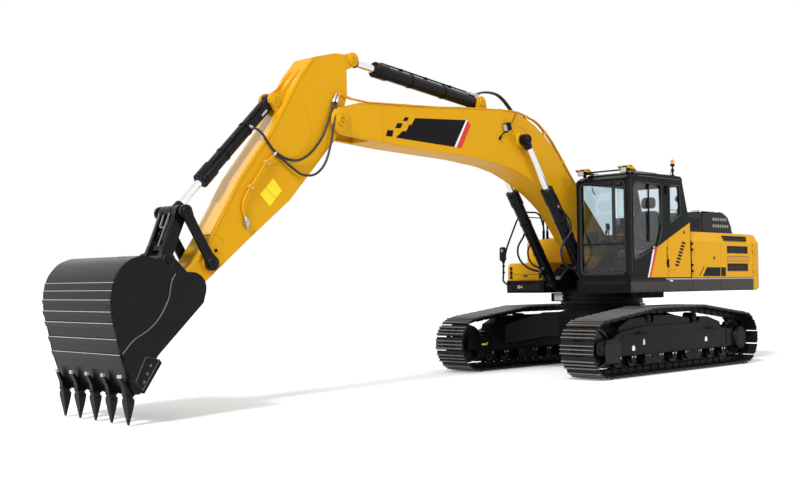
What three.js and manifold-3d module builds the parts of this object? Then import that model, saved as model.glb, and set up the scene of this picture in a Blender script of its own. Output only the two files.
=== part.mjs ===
// A crawler excavator, in millimetres: +X forward, +Y to the cab side, +Z up, tracks on z = 0.
// It is laid out from its slewing axis and shifted at the end so that its box is centred on the origin.
import * as THREE from "three";
import { mergeVertices } from "three/addons/utils/BufferGeometryUtils.js";
import Module from "manifold-3d";

const wasm = await Module();
wasm.setup();

// ---- fits
const seat = 0.3; // between fixed pieces that touch
const pinFit = 0.6; // radial, round a pin that a piece turns on
const rodFit = 0.5; // radial, round a rod in its gland
const sideGap = 5; // beside moving pieces
const round = 32; // facets of pins and bores

// ---- undercarriage
const gauge = 2590;
const shoeWidth = 600;
const axleSpacing = 4140;
const loopRadius = 460; // over the shoes, round the idler and the sprocket
const carrierReach = 700; // of each carrier roller from the middle
const carrierTop = 1078; // over the shoes on the carrier rollers
const carrierRadius = 70;
const shoeCount = 50;
const shoeBlock = 0.8; // share of a pitch that a shoe's raised tread takes
const treadHeight = 30;
const shoePlate = 32;
const chainDepth = 80;
const chainWidth = 190;
const rollerRadius = 88;
const rollerCount = 9;
const frameWidth = 300;
const coverInside = 113; // from the chain in to the final drive's cover
const ringRadius = 700; // of the slewing ring
const ringBottom = 1090;
const deckBottom = 1290;

// ---- upper structure
const deckTop = 1500;
const halfWidth = 1480;
const cabRear = -470;
const cabFront = 1330;
const cabWall = 50;
const cabSill = 1555;
const cabEaves = 3100;
const cabTop = 3195;
const doorRear = 255;
const bayFront = -510; // of the engine bay's first door
const baySplit = -1451;
const bayRear = -2600;
const bevelLow = 2137;
const bevelHigh = 2297;
const bevelRun = 80; // of the bay's sloped top edge
const bevelIn = halfWidth - bevelRun;
const panel = 25;
const tailRadius = 3445;
const tailSide = -2645;
const tailFillet = 700;
const weightBottom = 1285;
const weightTop = 2290;

// ---- front attachment, each point as [x, z]
const boomFoot = [60, 1870];
const boomTip = [6184, 3642];
const boomCylFoot = [900, 1420];
const boomCylEye = [2470, 3692];
const armCylFoot = [3203, 4226];
const armCylEye = [5842, 4521];
const bucketCylFoot = [7166, 3829];
const leverPin = [8240, 1744];
const leverTop = [8600, 2340];
const linkPin = [8830, 1765];
const bucketPin = [8552, 1465];
const boomHalf = 245;
const armHalf = 190;
const boomCylGap = 111; // from the boom's side to the middle of a boom cylinder
const boomCylOut = boomHalf + boomCylGap;
const wellOut = boomCylOut + 119; // of the wells that the boom cylinders lie down into
const cabInner = wellOut + 25;
const bucketHalf = 755;
const plateThick = 20;
const earIn = armHalf + 7; // of the bucket's ears, beside the arm
const earOut = earIn + 40;
const leverY = earOut + 6; // of the levers, outside the ears
const linkOut = armHalf - 5;

const steel = { color: 0x1c1c1e, roughness: 0.6, metalness: 0.5 };
const yellow = { color: 0xe0a000, roughness: 0.35, metalness: 0.1 };
const chrome = { color: 0xc8ccd0, roughness: 0.12, metalness: 1 };
const plastic = { color: 0x202226, roughness: 0.7, metalness: 0 };

const machine = new THREE.Group();

// ---- solids
function solid(geometry) {
  const bare = geometry.index ? geometry.toNonIndexed() : geometry.clone();
  bare.deleteAttribute("normal");
  bare.deleteAttribute("uv");
  const merged = mergeVertices(bare, 1e-4);
  return new wasm.Manifold(
    new wasm.Mesh({
      numProp: 3,
      vertProperties: new Float32Array(merged.attributes.position.array),
      triVerts: new Uint32Array(merged.index.array),
    }),
  );
}

function join(...solids) {
  return solids.reduce((all, next) => all.add(next));
}

function cut(body, ...tools) {
  return tools.reduce((rest, tool) => rest.subtract(tool), body);
}

function add(name, body, look) {
  const mesh = body.getMesh();
  const geometry = new THREE.BufferGeometry();
  geometry.setAttribute("position", new THREE.BufferAttribute(mesh.vertProperties, 3));
  geometry.setIndex(new THREE.BufferAttribute(mesh.triVerts, 1));
  geometry.computeVertexNormals();
  const node = new THREE.Mesh(geometry, new THREE.MeshStandardMaterial(look));
  node.name = name;
  machine.add(node);
}

function shape(points, holes = []) {
  const outline = new THREE.Shape(points.map(([x, y]) => new THREE.Vector2(x, y)));
  for (const hole of holes) {
    outline.holes.push(new THREE.Path(hole.map(([x, y]) => new THREE.Vector2(x, y))));
  }
  return outline;
}

function extruded(points, depth, holes) {
  return new THREE.ExtrudeGeometry(shape(points, holes), { depth, bevelEnabled: false, curveSegments: 1 });
}

// A side outline of [x, z] points, as thick as from y0 to y1.
function sidePlate(points, y0, y1, holes) {
  const geometry = extruded(points, y1 - y0, holes);
  geometry.rotateX(Math.PI / 2);
  geometry.translate(0, y1, 0);
  return solid(geometry);
}

// A front outline of [y, z] points, from x0 to x1.
function frontPlate(points, x0, x1, holes) {
  const geometry = extruded(points, x1 - x0, holes);
  geometry.rotateX(Math.PI / 2);
  geometry.rotateZ(Math.PI / 2);
  geometry.translate(x0, 0, 0);
  return solid(geometry);
}

// A plan outline of [x, y] points, from z0 to z1.
function floorPlate(points, z0, z1, holes) {
  const geometry = extruded(points, z1 - z0, holes);
  geometry.translate(0, 0, z0);
  return solid(geometry);
}

function box(x0, x1, y0, y1, z0, z1) {
  const geometry = new THREE.BoxGeometry(x1 - x0, y1 - y0, z1 - z0);
  geometry.translate((x0 + x1) / 2, (y0 + y1) / 2, (z0 + z1) / 2);
  return solid(geometry);
}

function crossPin([x, z], radius, y0, y1, facets = round) {
  const geometry = new THREE.CylinderGeometry(radius, radius, y1 - y0, facets);
  geometry.translate(x, (y0 + y1) / 2, z);
  return solid(geometry);
}

function upright(x, y, radius, z0, z1, facets = round) {
  const geometry = new THREE.CylinderGeometry(radius, radius, z1 - z0, facets);
  geometry.rotateX(Math.PI / 2);
  geometry.translate(x, y, (z0 + z1) / 2);
  return solid(geometry);
}

// A bar along the line between two side points, from one distance along it to another.
function bar(from, to, y, radius, start, end, facets = 16) {
  const angle = Math.atan2(to[1] - from[1], to[0] - from[0]);
  const geometry = new THREE.CylinderGeometry(radius, radius, end - start, facets);
  geometry.rotateZ(-Math.PI / 2);
  geometry.translate((start + end) / 2, 0, 0);
  geometry.rotateY(-angle);
  geometry.translate(from[0], y, from[1]);
  return solid(geometry);
}

function pipe(points, radius, steps, facets = 10) {
  const path = new THREE.CatmullRomCurve3(points.map((p) => new THREE.Vector3(...p)), false, "centripetal");
  const ring = [];
  for (let i = 0; i < facets; i += 1) {
    const turn = (2 * Math.PI * i) / facets;
    ring.push(new THREE.Vector2(radius * Math.cos(turn), radius * Math.sin(turn)));
  }
  return solid(
    new THREE.ExtrudeGeometry(new THREE.Shape(ring), { steps, extrudePath: path, bevelEnabled: false }),
  );
}

// ---- outlines
function arc([x, y], radius, from, to, steps) {
  const points = [];
  for (let i = 0; i <= steps; i += 1) {
    const turn = THREE.MathUtils.degToRad(from + ((to - from) * i) / steps);
    points.push([x + radius * Math.cos(turn), y + radius * Math.sin(turn)]);
  }
  return points;
}

function hull(points) {
  const sorted = [...points].sort((a, b) => a[0] - b[0] || a[1] - b[1]);
  const side = (list) => {
    const chain = [];
    for (const p of list) {
      while (chain.length > 1) {
        const [a, b] = chain.slice(-2);
        const turn = (b[0] - a[0]) * (p[1] - a[1]) - (b[1] - a[1]) * (p[0] - a[0]);
        if (turn > 1e-9) break;
        chain.pop();
      }
      chain.push(p);
    }
    chain.pop();
    return chain;
  };
  return [...side(sorted), ...side(sorted.reverse())];
}

// The same outline, each edge moved in by the distance.
function inset(points, distance) {
  const n = points.length;
  return points.map((p, i) => {
    const before = points[(i + n - 1) % n];
    const after = points[(i + 1) % n];
    const normal = (a, b) => {
      const length = Math.hypot(b[0] - a[0], b[1] - a[1]);
      return [-(b[1] - a[1]) / length, (b[0] - a[0]) / length];
    };
    const n1 = normal(before, p);
    const n2 = normal(p, after);
    const scale = distance / (1 + n1[0] * n2[0] + n1[1] * n2[1]);
    return [p[0] + (n1[0] + n2[0]) * scale, p[1] + (n1[1] + n2[1]) * scale];
  });
}

// Knuckles of an upright hinge on the outer face at y, at each height: one set for the leaf, with
// pins for the frame. reach is +1 where the leaf lies forward of the hinge.
function hinge(x, y, heights, side, reach) {
  const knuckle = (z0, z1, way) => {
    const xs = [x, x + way * 24].sort((a, b) => a - b);
    const ys = [y - side * 16.5, y + side * 6].sort((a, b) => a - b);
    return join(upright(x, y, 14, z0, z1, 8), box(...xs, ...ys, z0, z1));
  };
  const leaf = heights.map((z) => cut(knuckle(z - 30, z + 30, reach), upright(x, y, 7 + pinFit, z - 90, z + 90, 8)));
  const frame = heights.flatMap((z) => [
    knuckle(z - 70, z - 31, -reach),
    upright(x, y, 7, z - 50, z + 50, 8),
    knuckle(z + 31, z + 70, -reach),
  ]);
  return { leaf: join(...leaf), frame: join(...frame) };
}

function rounded([x0, x1], [y0, y1], radius, steps = 4) {
  return [
    ...arc([x1 - radius, y0 + radius], radius, -90, 0, steps),
    ...arc([x1 - radius, y1 - radius], radius, 0, 90, steps),
    ...arc([x0 + radius, y1 - radius], radius, 90, 180, steps),
    ...arc([x0 + radius, y0 + radius], radius, 180, 270, steps),
  ];
}

// A flat link between two round ends.
function linkOutline(from, to, fromRadius, toRadius) {
  return hull([...arc(from, fromRadius, 0, 336, 14), ...arc(to, toRadius, 0, 336, 14)]);
}

// The track's loop round its wheels, as far in from the shoes' tread as given.
function loop(depth, steps = 18) {
  const wheel = loopRadius - depth;
  const carried = carrierTop - depth;
  const small = 210 - depth;
  return hull([
    ...arc([axleSpacing / 2, loopRadius], wheel, -90, 90, steps),
    ...arc([carrierReach, carried - small], small, 60, 90, 2),
    ...arc([-carrierReach, carried - small], small, 90, 120, 2),
    ...arc([-axleSpacing / 2, loopRadius], wheel, 90, 270, steps),
  ]);
}

// The shoes' outline: a raised tread for each shoe, standing out of the plates' loop.
function shoeOutline() {
  const base = loop(treadHeight, 40);
  const lengths = base.map((p, i) => {
    const next = base[(i + 1) % base.length];
    return Math.hypot(next[0] - p[0], next[1] - p[1]);
  });
  const total = lengths.reduce((sum, l) => sum + l, 0);
  const at = (distance) => {
    let rest = ((distance % total) + total) % total;
    let i = 0;
    while (rest > lengths[i]) {
      rest -= lengths[i];
      i += 1;
    }
    const a = base[i];
    const b = base[(i + 1) % base.length];
    const along = [(b[0] - a[0]) / lengths[i], (b[1] - a[1]) / lengths[i]];
    return { point: [a[0] + along[0] * rest, a[1] + along[1] * rest], out: [along[1], -along[0]] };
  };
  const points = [];
  for (let i = 0; i < shoeCount; i += 1) {
    const pitch = total / shoeCount;
    const middle = (i + 0.5) * pitch;
    const half = (pitch * shoeBlock) / 2;
    const face = at(middle).out;
    for (const [reach, rise] of [[-half, 0], [-half, 1], [half, 1], [half, 0]]) {
      const { point } = at(middle + reach);
      const lift = rise * treadHeight;
      points.push([point[0] + face[0] * lift, Math.max(0, point[1] + face[1] * lift)]);
    }
  }
  return points;
}

// ---- undercarriage
const chainIn = treadHeight + shoePlate + chainDepth; // from the tread to where the wheels bear
const wheelRadius = (loopRadius - chainIn) * Math.cos(Math.PI / 36) - seat;
const wheelX = axleSpacing / 2;
const coverRadius = loopRadius - chainIn - coverInside;
const frameBottom = chainIn + 2 * rollerRadius + 2 * seat;
const beltOverlap = 8;

for (const [name, side] of [["left", 1], ["right", -1]]) {
  const middle = (side * gauge) / 2;
  const span = (half) => [middle - half, middle + half];
  const shoes = sidePlate(shoeOutline(), ...span(shoeWidth / 2), [loop(treadHeight + shoePlate)]);
  const chain = sidePlate(loop(treadHeight + shoePlate - beltOverlap), ...span(chainWidth / 2), [loop(chainIn)]);
  add(`track_${name}`, join(shoes, chain), steel);

  const beam = sidePlate(
    [
      [-1560, frameBottom], [1600, frameBottom], [1730, 380], [1730, 640], [1500, 700],
      [900, 760], [-900, 760], [-1300, 700], [-1560, 640],
    ],
    ...span(frameWidth / 2),
  );
  const fork = sidePlate([[1500, 330], [2200, 370], [2200, 550], [1500, 640]], ...span(frameWidth / 2));
  const forkSlot = box(1735, 2600, ...span(105), 0, 1200);
  const axleBore = crossPin([wheelX, loopRadius], 55 + seat, ...span(400));
  const carriers = [carrierReach, -carrierReach].map((x) =>
    join(
      box(x - 55, x + 55, ...span(45), 750, 860),
      crossPin([x, carrierTop - chainIn - carrierRadius - seat], carrierRadius, ...span(95), 24),
    ),
  );
  const driveSeat = sidePlate(
    [[-1900, 340], [-1650, frameBottom], [-1500, frameBottom], [-1500, 650], [-1900, 620]],
    ...span(frameWidth / 2),
  );
  const driveSlot = box(-2600, -1735, ...span(105), 0, 1200);
  const driveBore = crossPin([-wheelX, loopRadius], coverRadius + 45 + seat, ...span(400), 28);
  add(
    `track_frame_${name}`,
    cut(join(beam, fork, driveSeat, ...carriers), forkSlot, axleBore, driveSlot, driveBore),
    steel,
  );

  const idler = join(
    crossPin([wheelX, loopRadius], wheelRadius, ...span(75), 28),
    crossPin([wheelX, loopRadius], 140, ...span(105 - seat), 24),
    crossPin([wheelX, loopRadius], 55, ...span(frameWidth / 2 + 15)),
  );
  add(`idler_${name}`, idler, steel);

  const drive = join(
    crossPin([-wheelX, loopRadius], wheelRadius, ...span(45), 28),
    crossPin([-wheelX, loopRadius], coverRadius + 45, ...span(150), 28),
    crossPin([-wheelX, loopRadius], coverRadius, ...(side > 0 ? [middle, middle + 215] : [middle - 215, middle]), 28),
  );
  add(`final_drive_${name}`, drive, steel);

  const rollers = [];
  for (let i = 0; i < rollerCount; i += 1) {
    const x = -1560 + (3160 * i) / (rollerCount - 1);
    rollers.push(crossPin([x, chainIn + rollerRadius + seat], rollerRadius, ...span(95), 10));
    rollers.push(crossPin([x, chainIn + rollerRadius + seat], 40, ...span(140), 6));
  }
  const rails = [1, -1].map((s) => {
    const y = [middle + s * 110, middle + s * 140].sort((a, b) => a - b);
    return box(-1640, 1680, ...y, chainIn + 50, frameBottom - seat);
  });
  add(`rollers_${name}`, join(...rollers, ...rails), steel);
}

const innerFace = gauge / 2 - frameWidth / 2 - seat;
const cross = floorPlate(
  [
    [1250, innerFace], [760, innerFace], [430, 560], [-430, 560], [-760, innerFace], [-1250, innerFace],
    [-800, 330], [-800, -330], [-1250, -innerFace], [-760, -innerFace], [-430, -560], [430, -560],
    [760, -innerFace], [1250, -innerFace], [800, -330], [800, 330],
  ],
  300,
  1100,
);
const crossSection = frontPlate(
  [
    [-innerFace, 420], [-500, 560], [500, 560], [innerFace, 420],
    [innerFace, 745], [560, 960], [-560, 960], [-innerFace, 745],
  ],
  -1400,
  1400,
);
const pedestal = cut(upright(0, 0, ringRadius - 40, 780, ringBottom - seat, 28), upright(0, 0, 420, 700, 1200, 28));
const hollowCross = cut(cross.intersect(crossSection), upright(0, 0, 420, 640, 1200, 28));
add("car_body", join(hollowCross, pedestal), steel);

// ---- upper structure
const ring = cut(
  join(upright(0, 0, ringRadius, ringBottom + seat, deckBottom - seat, 32)),
  upright(0, 0, 520, 0, 2000, 32),
);
add("slewing_ring", ring, steel);

const bracketIn = boomHalf + 10;
const bracketOut = bracketIn + 40;
const wellRear = boomCylFoot[0] - 130;
const deckPlan = [
  [cabFront, halfWidth], [-2600, halfWidth], [-2600, -halfWidth], [760, -halfWidth], [1010, -1285],
  [1010, -wellOut], [wellRear, -wellOut], [wellRear, -bracketIn], [400, -bracketIn],
  [400, bracketIn], [wellRear, bracketIn], [wellRear, wellOut], [cabFront, wellOut],
];
const skirt = cut(
  floorPlate(deckPlan, deckBottom, deckTop),
  floorPlate(inset(deckPlan, 25), deckBottom - 10, deckTop - 25),
);
const bedPlate = upright(0, 0, 700, deckBottom, deckBottom + 40);
const bracketOutline = [
  [-2590, 1300], [boomCylFoot[0] - 90, 1300], ...arc(boomCylFoot, 95, -90, 130, 8),
  [boomCylFoot[0] - 140, 1530], [600, 1640],
  ...arc(boomFoot, 190, 35, 150, 5), [-420, 1640], [-700, 1510], [-2590, 1480],
];
const brackets = [1, -1].flatMap((s) => {
  const wall = [s * bracketIn, s * bracketOut].sort((a, b) => a - b);
  const stub = [s * bracketIn, s * (boomCylOut + 100)].sort((a, b) => a - b);
  const lug = [s * (boomCylOut + 57), s * (boomCylOut + 97)].sort((a, b) => a - b);
  return [
    sidePlate(bracketOutline, ...wall),
    crossPin(boomCylFoot, 50, ...stub),
    sidePlate(
      hull([
        ...arc(boomCylFoot, 95, -90, 90, 6),
        [boomCylFoot[0] - 145, 1300], [boomCylFoot[0] - 145, 1490],
      ]),
      ...lug,
    ),
  ];
});
const footPin = crossPin(boomFoot, 60, -bracketOut, bracketOut);
add("platform", join(skirt, bedPlate, ...brackets, footPin), steel);

const tailFront = bayRear - 12;
const tailPlan = [
  [bayRear - seat, -1365], [bayRear - seat, 1365], [tailFront, 1365], [tailFront, halfWidth],
  ...arc([tailSide, halfWidth - tailFillet], tailFillet, 90, 158, 8),
  ...arc([0, 0], tailRadius, 168, 192, 10),
  ...arc([tailSide, -halfWidth + tailFillet], tailFillet, 202, 270, 8),
  [tailFront, -halfWidth], [tailFront, -1365],
];
const weightEdge = 45; // of the bottom's rounding
const weightPlan = (in_, front) => [
  [tailFront, front], ...arc([tailSide, halfWidth - tailFillet], tailFillet - in_, 90, 158, 8),
  ...arc([0, 0], tailRadius - in_, 168, 192, 10),
  ...arc([tailSide, -halfWidth + tailFillet], tailFillet - in_, 202, 270, 8), [tailFront, -front],
];
const between = (low, z0, high, z1) =>
  wasm.Manifold.hull([floorPlate(low, z0, z0 + 0.5), floorPlate(high, z1 - 0.5, z1)]);
const weight = join(
  floorPlate(tailPlan, weightBottom + weightEdge, bevelLow),
  between(
    weightPlan(weightEdge, halfWidth - weightEdge), weightBottom,
    weightPlan(0, halfWidth), weightBottom + weightEdge + 0.5,
  ),
  between(weightPlan(0, halfWidth), bevelLow - 0.5, weightPlan(bevelRun, bevelIn), weightTop),
);
const weightPocket = box(-3020, -2500, -1050, 1050, 1400, weightTop - 190);
const hingeOut = halfWidth + 16;
const leftRear = hinge(bayRear - 6, hingeOut, [1680, 2040], 1, 1);
const rightRear = hinge(bayRear - 6, -hingeOut, [1680, 2040], -1, 1);
add(
  "counterweight",
  join(cut(weight, weightPocket), leftRear.frame, rightRear.frame),
  yellow,
);

const bayWall = (side) => [
  [side * halfWidth, deckTop + 20], [side * halfWidth, bevelLow], [side * bevelIn, bevelHigh],
  [side * (bevelIn - panel), bevelHigh], [side * (halfWidth - panel), bevelLow - 6],
  [side * (halfWidth - panel), deckTop + 20],
];
const outward = (points, side) => (side > 0 ? points : [...points].reverse());
const vent = (side, x0, x1, z0, z1) => {
  const y = [side * (bevelIn - 120), side * (halfWidth + 50)].sort((a, b) => a - b);
  return box(x0, x1, ...y, z0, z1);
};
const sideDoor = (side, x0, x1) => frontPlate(outward(bayWall(side), side), x0, x1);
const leftFront = hinge(bayFront + 5, hingeOut, [1680, 2040], 1, -1);
add("side_door_left_front", join(sideDoor(1, baySplit + 3, bayFront), leftFront.leaf), yellow);
add(
  "side_door_left_rear",
  cut(
    join(sideDoor(1, bayRear, baySplit - 3), leftRear.leaf),
    vent(1, -2412, -1684, 1945, 2068),
    vent(1, -2416, -1688, 1631, 1762),
    vent(1, -2367, -1588, 2160, 2241),
  ),
  yellow,
);
add("side_door_right", join(sideDoor(-1, bayRear, -1412), rightRear.leaf), yellow);

const bulkhead = frontPlate(
  [
    [bracketOut + sideGap, deckTop + seat], [halfWidth, deckTop + seat], [halfWidth, 2130],
    [bevelIn, 2284], [bracketOut + sideGap, 2284],
  ],
  -500,
  -478,
);
add("bulkhead", join(bulkhead, leftFront.frame), steel);
const hoodFront = -1425;
const hoodRear = -2481;
const hoodLeft = 1150;
const hoodRight = -700;
const coverPlan = [
  [-478, bevelIn - panel - 6], [bayRear, bevelIn - panel - 6], [bayRear, -(bevelIn - panel - 6)],
  [-1412, -(bevelIn - panel - 6)], [-1412, -530], [-478, -530],
];
const coverHole = [
  [hoodFront - 60, hoodLeft - 60], [hoodRear + 60, hoodLeft - 60],
  [hoodRear + 60, hoodRight + 60], [hoodFront - 60, hoodRight + 60],
];
const posts = [[-1451, 1], [-2560, 1], [-1440, -1], [-2560, -1]].map(([x, s]) => {
  const y = [s * (halfWidth - 140), s * (halfWidth - 200)].sort((a, b) => a - b);
  return box(x - 30, x + 30, ...y, deckTop + seat, 2290);
});
const hoodSide = [
  [hoodFront, 2299 + sideGap], [hoodRear, 2299 + sideGap], [-2440, 2440], [-2330, 2600], [-2180, 2670],
  [-2060, 2695], [hoodFront, 2650],
];
const hoodPin = [hoodRear - 11, 2311];
const hoodHinge = [[-500, -440], [890, 950]].map(([y0, y1]) => ({
  leaf: cut(
    join(crossPin(hoodPin, 12, y0, y1, 8), box(hoodPin[0], hoodRear + 14, y0, y1, 2306, 2318)),
    crossPin(hoodPin, 6 + pinFit, y0 - 50, y1 + 50, 8),
  ),
  frame: join(
    crossPin(hoodPin, 6, y0 - 20, y1 + 20, 8),
    box(hoodPin[0] - 14, hoodPin[0] + 8, y0 - 30, y0 - 1, 2298, 2317),
    box(hoodPin[0] - 14, hoodPin[0] + 8, y1 + 1, y1 + 30, 2298, 2317),
  ),
}));
const hoodIn = inset([...hoodSide].reverse(), panel);
const rearWall = box(bayRear, bayRear + 20, -1360, 1360, deckTop + seat, 2290);
add("bay_cover", join(floorPlate(coverPlan, 2284.3, 2299, [coverHole]), ...posts, rearWall, ...hoodHinge.map((h) => h.frame)), yellow);
add(
  "hood",
  cut(
    join(sidePlate(hoodSide, hoodRight, hoodLeft), ...hoodHinge.map((h) => h.leaf)),
    sidePlate([...hoodIn].reverse(), hoodRight + panel, hoodLeft - panel),
    box(hoodRear + 60, hoodFront - 40, hoodRight + panel, hoodLeft - panel, 2200, 2400),
  ),
  plastic,
);
add(
  "intake_box",
  cut(
    box(-1405, -760, 560, 1150, 2299 + seat, 2648),
    box(-1380, -785, 585, 1125, 2200, 2623),
  ),
  plastic,
);
add("engine", box(-2380, -1480, -480, 700, deckTop + seat, 2230), steel);

const tankBox = (x0, x1, y0, y1, top) =>
  cut(
    box(x0, x1, y0, y1, deckTop + seat, top),
    box(x0 + plateThick, x1 - plateThick, y0 + plateThick, y1 - plateThick, deckTop + plateThick, top - plateThick),
    upright((x0 + x1) / 2, (y0 + y1) / 2, 60, deckTop - 100, deckTop + 60),
  );
add("fuel_tank", tankBox(-399, 419, -1300, -540, 2235), yellow);
add("hydraulic_tank", tankBox(-1405, -405, -halfWidth, -540, 2290), yellow);
add("tool_box", tankBox(425, 970, -1290, -540, 1808), yellow);

// ---- cab
const cabLine = [[cabRear, 2378], [-245, cabEaves]];
add("cab_floor", box(cabRear, cabFront, cabInner, halfWidth, deckTop + seat, cabSill - sideGap), steel);
const standing = cabSill - sideGap + seat;
add(
  "cab_front",
  frontPlate(
    [[cabInner, standing], [halfWidth, standing], [halfWidth, cabEaves], [cabInner, cabEaves]],
    cabFront - cabWall,
    cabFront,
    [
      rounded([550, 1405], [1588, 2044], 60).reverse(),
      rounded([550, 1405], [2080, 3050], 60).reverse(),
    ],
  ),
  steel,
);
const cabBack = sidePlate(
  [
    [cabRear, standing], [cabRear + cabWall, standing], [cabRear + cabWall, 2378],
    [-245 + cabWall, cabEaves], [-245, cabEaves], [cabRear, 2378],
  ],
  cabInner,
  halfWidth,
);
add("cab_rear", cut(cabBack, box(-600, 0, 600, 1380, 2450, 3030)), steel);
const wallRear = (z) => cabRear + cabWall + seat + Math.max(0, ((z - 2378) * 225) / (cabEaves - 2378));
const wallFront = cabFront - cabWall - seat;
add(
  "cab_right",
  sidePlate(
    [
      [wallRear(0), standing], [wallFront, standing], [wallFront, cabEaves],
      [wallRear(cabEaves), cabEaves], [wallRear(0), 2378],
    ],
    cabInner,
    cabInner + cabWall,
    [rounded([300, 1180], [1900, 3030], 60).reverse(), rounded([-140, 200], [2300, 3030], 60).reverse()],
  ),
  steel,
);
const doorHinge = hinge(doorRear - 2.5, hingeOut, [1760, 2950], 1, 1);
const quarterWindow = [[154, 2400], [-175, 2560], [-150, 3035], [154, 3035]];
add(
  "cab_quarter",
  sidePlate(
    [
      [wallRear(0), standing], [doorRear - sideGap, standing], [doorRear - sideGap, cabEaves],
      [wallRear(cabEaves), cabEaves], [wallRear(0), 2378],
    ],
    halfWidth - cabWall,
    halfWidth,
    [quarterWindow],
  ).add(doorHinge.frame),
  steel,
);
const doorFront = cabFront - cabWall - sideGap;
add(
  "cab_door",
  sidePlate(
    [
      [doorRear, cabSill], [doorFront, cabSill],
      [doorFront, cabEaves - sideGap], [doorRear, cabEaves - sideGap],
    ],
    halfWidth - cabWall,
    halfWidth,
    [[[1215, 1800], [510, 2040], [400, 2290], [400, 3030], [1150, 3030], [1215, 2960]].reverse()],
  ).add(doorHinge.leaf),
  steel,
);
add(
  "cab_roof",
  sidePlate(
    [
      [-245, cabEaves + seat], [cabFront, cabEaves + seat], [1250, 3140], [1104, cabTop - 25],
      [600, cabTop], [-180, cabTop], [-245, cabTop - 35],
    ],
    cabInner,
    halfWidth,
  ),
  steel,
);
const seatMiddle = cabInner + cabWall + 410;
add(
  "seat",
  join(
    box(150, 560, seatMiddle - 200, seatMiddle + 200, standing, 1850),
    box(60, 640, seatMiddle - 255, seatMiddle + 255, 1850, 1990),
    sidePlate([[60, 1980], [190, 1990], [60, 2560], [-60, 2560]], seatMiddle - 230, seatMiddle + 230),
    sidePlate([[50, 2550], [30, 2560], [-10, 2790], [-90, 2790], [-50, 2550]], seatMiddle - 140, seatMiddle + 140),
  ),
  plastic,
);
for (const [name, side] of [["left", 1], ["right", -1]]) {
  const y = [seatMiddle + side * 270, seatMiddle + side * 400].sort((a, b) => a - b);
  add(
    `console_${name}`,
    sidePlate(
      [[120, standing], [480, standing], [480, 1990], [760, 2070], [790, 2150], [120, 2110]],
      ...y,
    ),
    plastic,
  );
}

const railY = -1350;
add(
  "handrail",
  join(
    pipe(
      [
        [1011, -1255, 1440], [1040, -1255, 1440], [1040, railY, 1490], [1020, railY, 1600],
        [1016, railY, 1860], [973, railY, 1945], [912, railY, 2109], [623, railY, 2594], [503, railY, 2680],
        [382, railY, 2732], [80, railY, 2740], [0, railY + 25, 2690], [-15, railY + 100, 2450],
        [-15, railY + 100, 2236.5],
      ],
      19,
      26,
      6,
    ),
    box(905, 1075, railY - 25, railY + 25, 1850, 2090),
  ),
  steel,
);

// ---- boom
const boomOutline = [
  ...arc(boomFoot, 180, 130, 290, 6),
  [880, 2096], [1060, 2290], [1244, 2490], [1400, 2640], [1576, 2765], [1805, 2900], [2030, 3010],
  [2273, 3112], [2583, 3215], [2953, 3289], [3638, 3346], [5092, 3391], [6023, 3449],
  ...arc(boomTip, 175, -70, 80, 6),
  [5880, 3905], [4687, 3974], [2934, 4130], [2600, 4115], [2346, 4052], [2130, 3965], [1868, 3820],
  [1607, 3620], [1410, 3420], [1143, 3135], [900, 2930],
];
const boomSkin = sidePlate(boomOutline, -boomHalf, boomHalf);
const boomHollow = sidePlate(inset(boomOutline, plateThick), -boomHalf + plateThick, boomHalf - plateThick);
const forkSlot = box(5600, 6700, -armHalf - sideGap, armHalf + sideGap, 3000, 4300);
const footOpening = box(-80, 60, -150, 150, 1650, 1800);
const footBoss = crossPin(boomFoot, 130, -boomHalf, boomHalf, 16);
const eyeBoss = [1, -1].map((s) => {
  const y = [s * 200, s * (boomCylOut - 62)].sort((a, b) => a - b);
  return crossPin(boomCylEye, 100, ...y, 16);
});
const earAt = (pin, base, halfGap, thick, reach = 95) =>
  [1, -1].map((s) => {
    const y = [s * halfGap, s * (halfGap + thick)].sort((a, b) => a - b);
    return sidePlate(hull([...arc(pin, reach, 0, 330, 11), ...base]), ...y);
  });
const tipPin = crossPin(boomTip, 62, -boomHalf - 20, boomHalf + 20);
const armCylEars = earAt(armCylFoot, [[3080, 4100], [3306, 4090]], 70, 45, 98);
const armCylPin = crossPin(armCylFoot, 50, -125, 125);
add(
  "boom",
  cut(
    join(
      cut(boomSkin, boomHollow, forkSlot),
      box(5560, 5600, -boomHalf + 5, boomHalf - 5, 3430, 3890),
      footBoss,
      ...eyeBoss,
      ...armCylEars,
      armCylPin,
      tipPin,
    ),
    crossPin(boomFoot, 60 + pinFit, -500, 500),
    footOpening,
  ),
  yellow,
);

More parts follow.
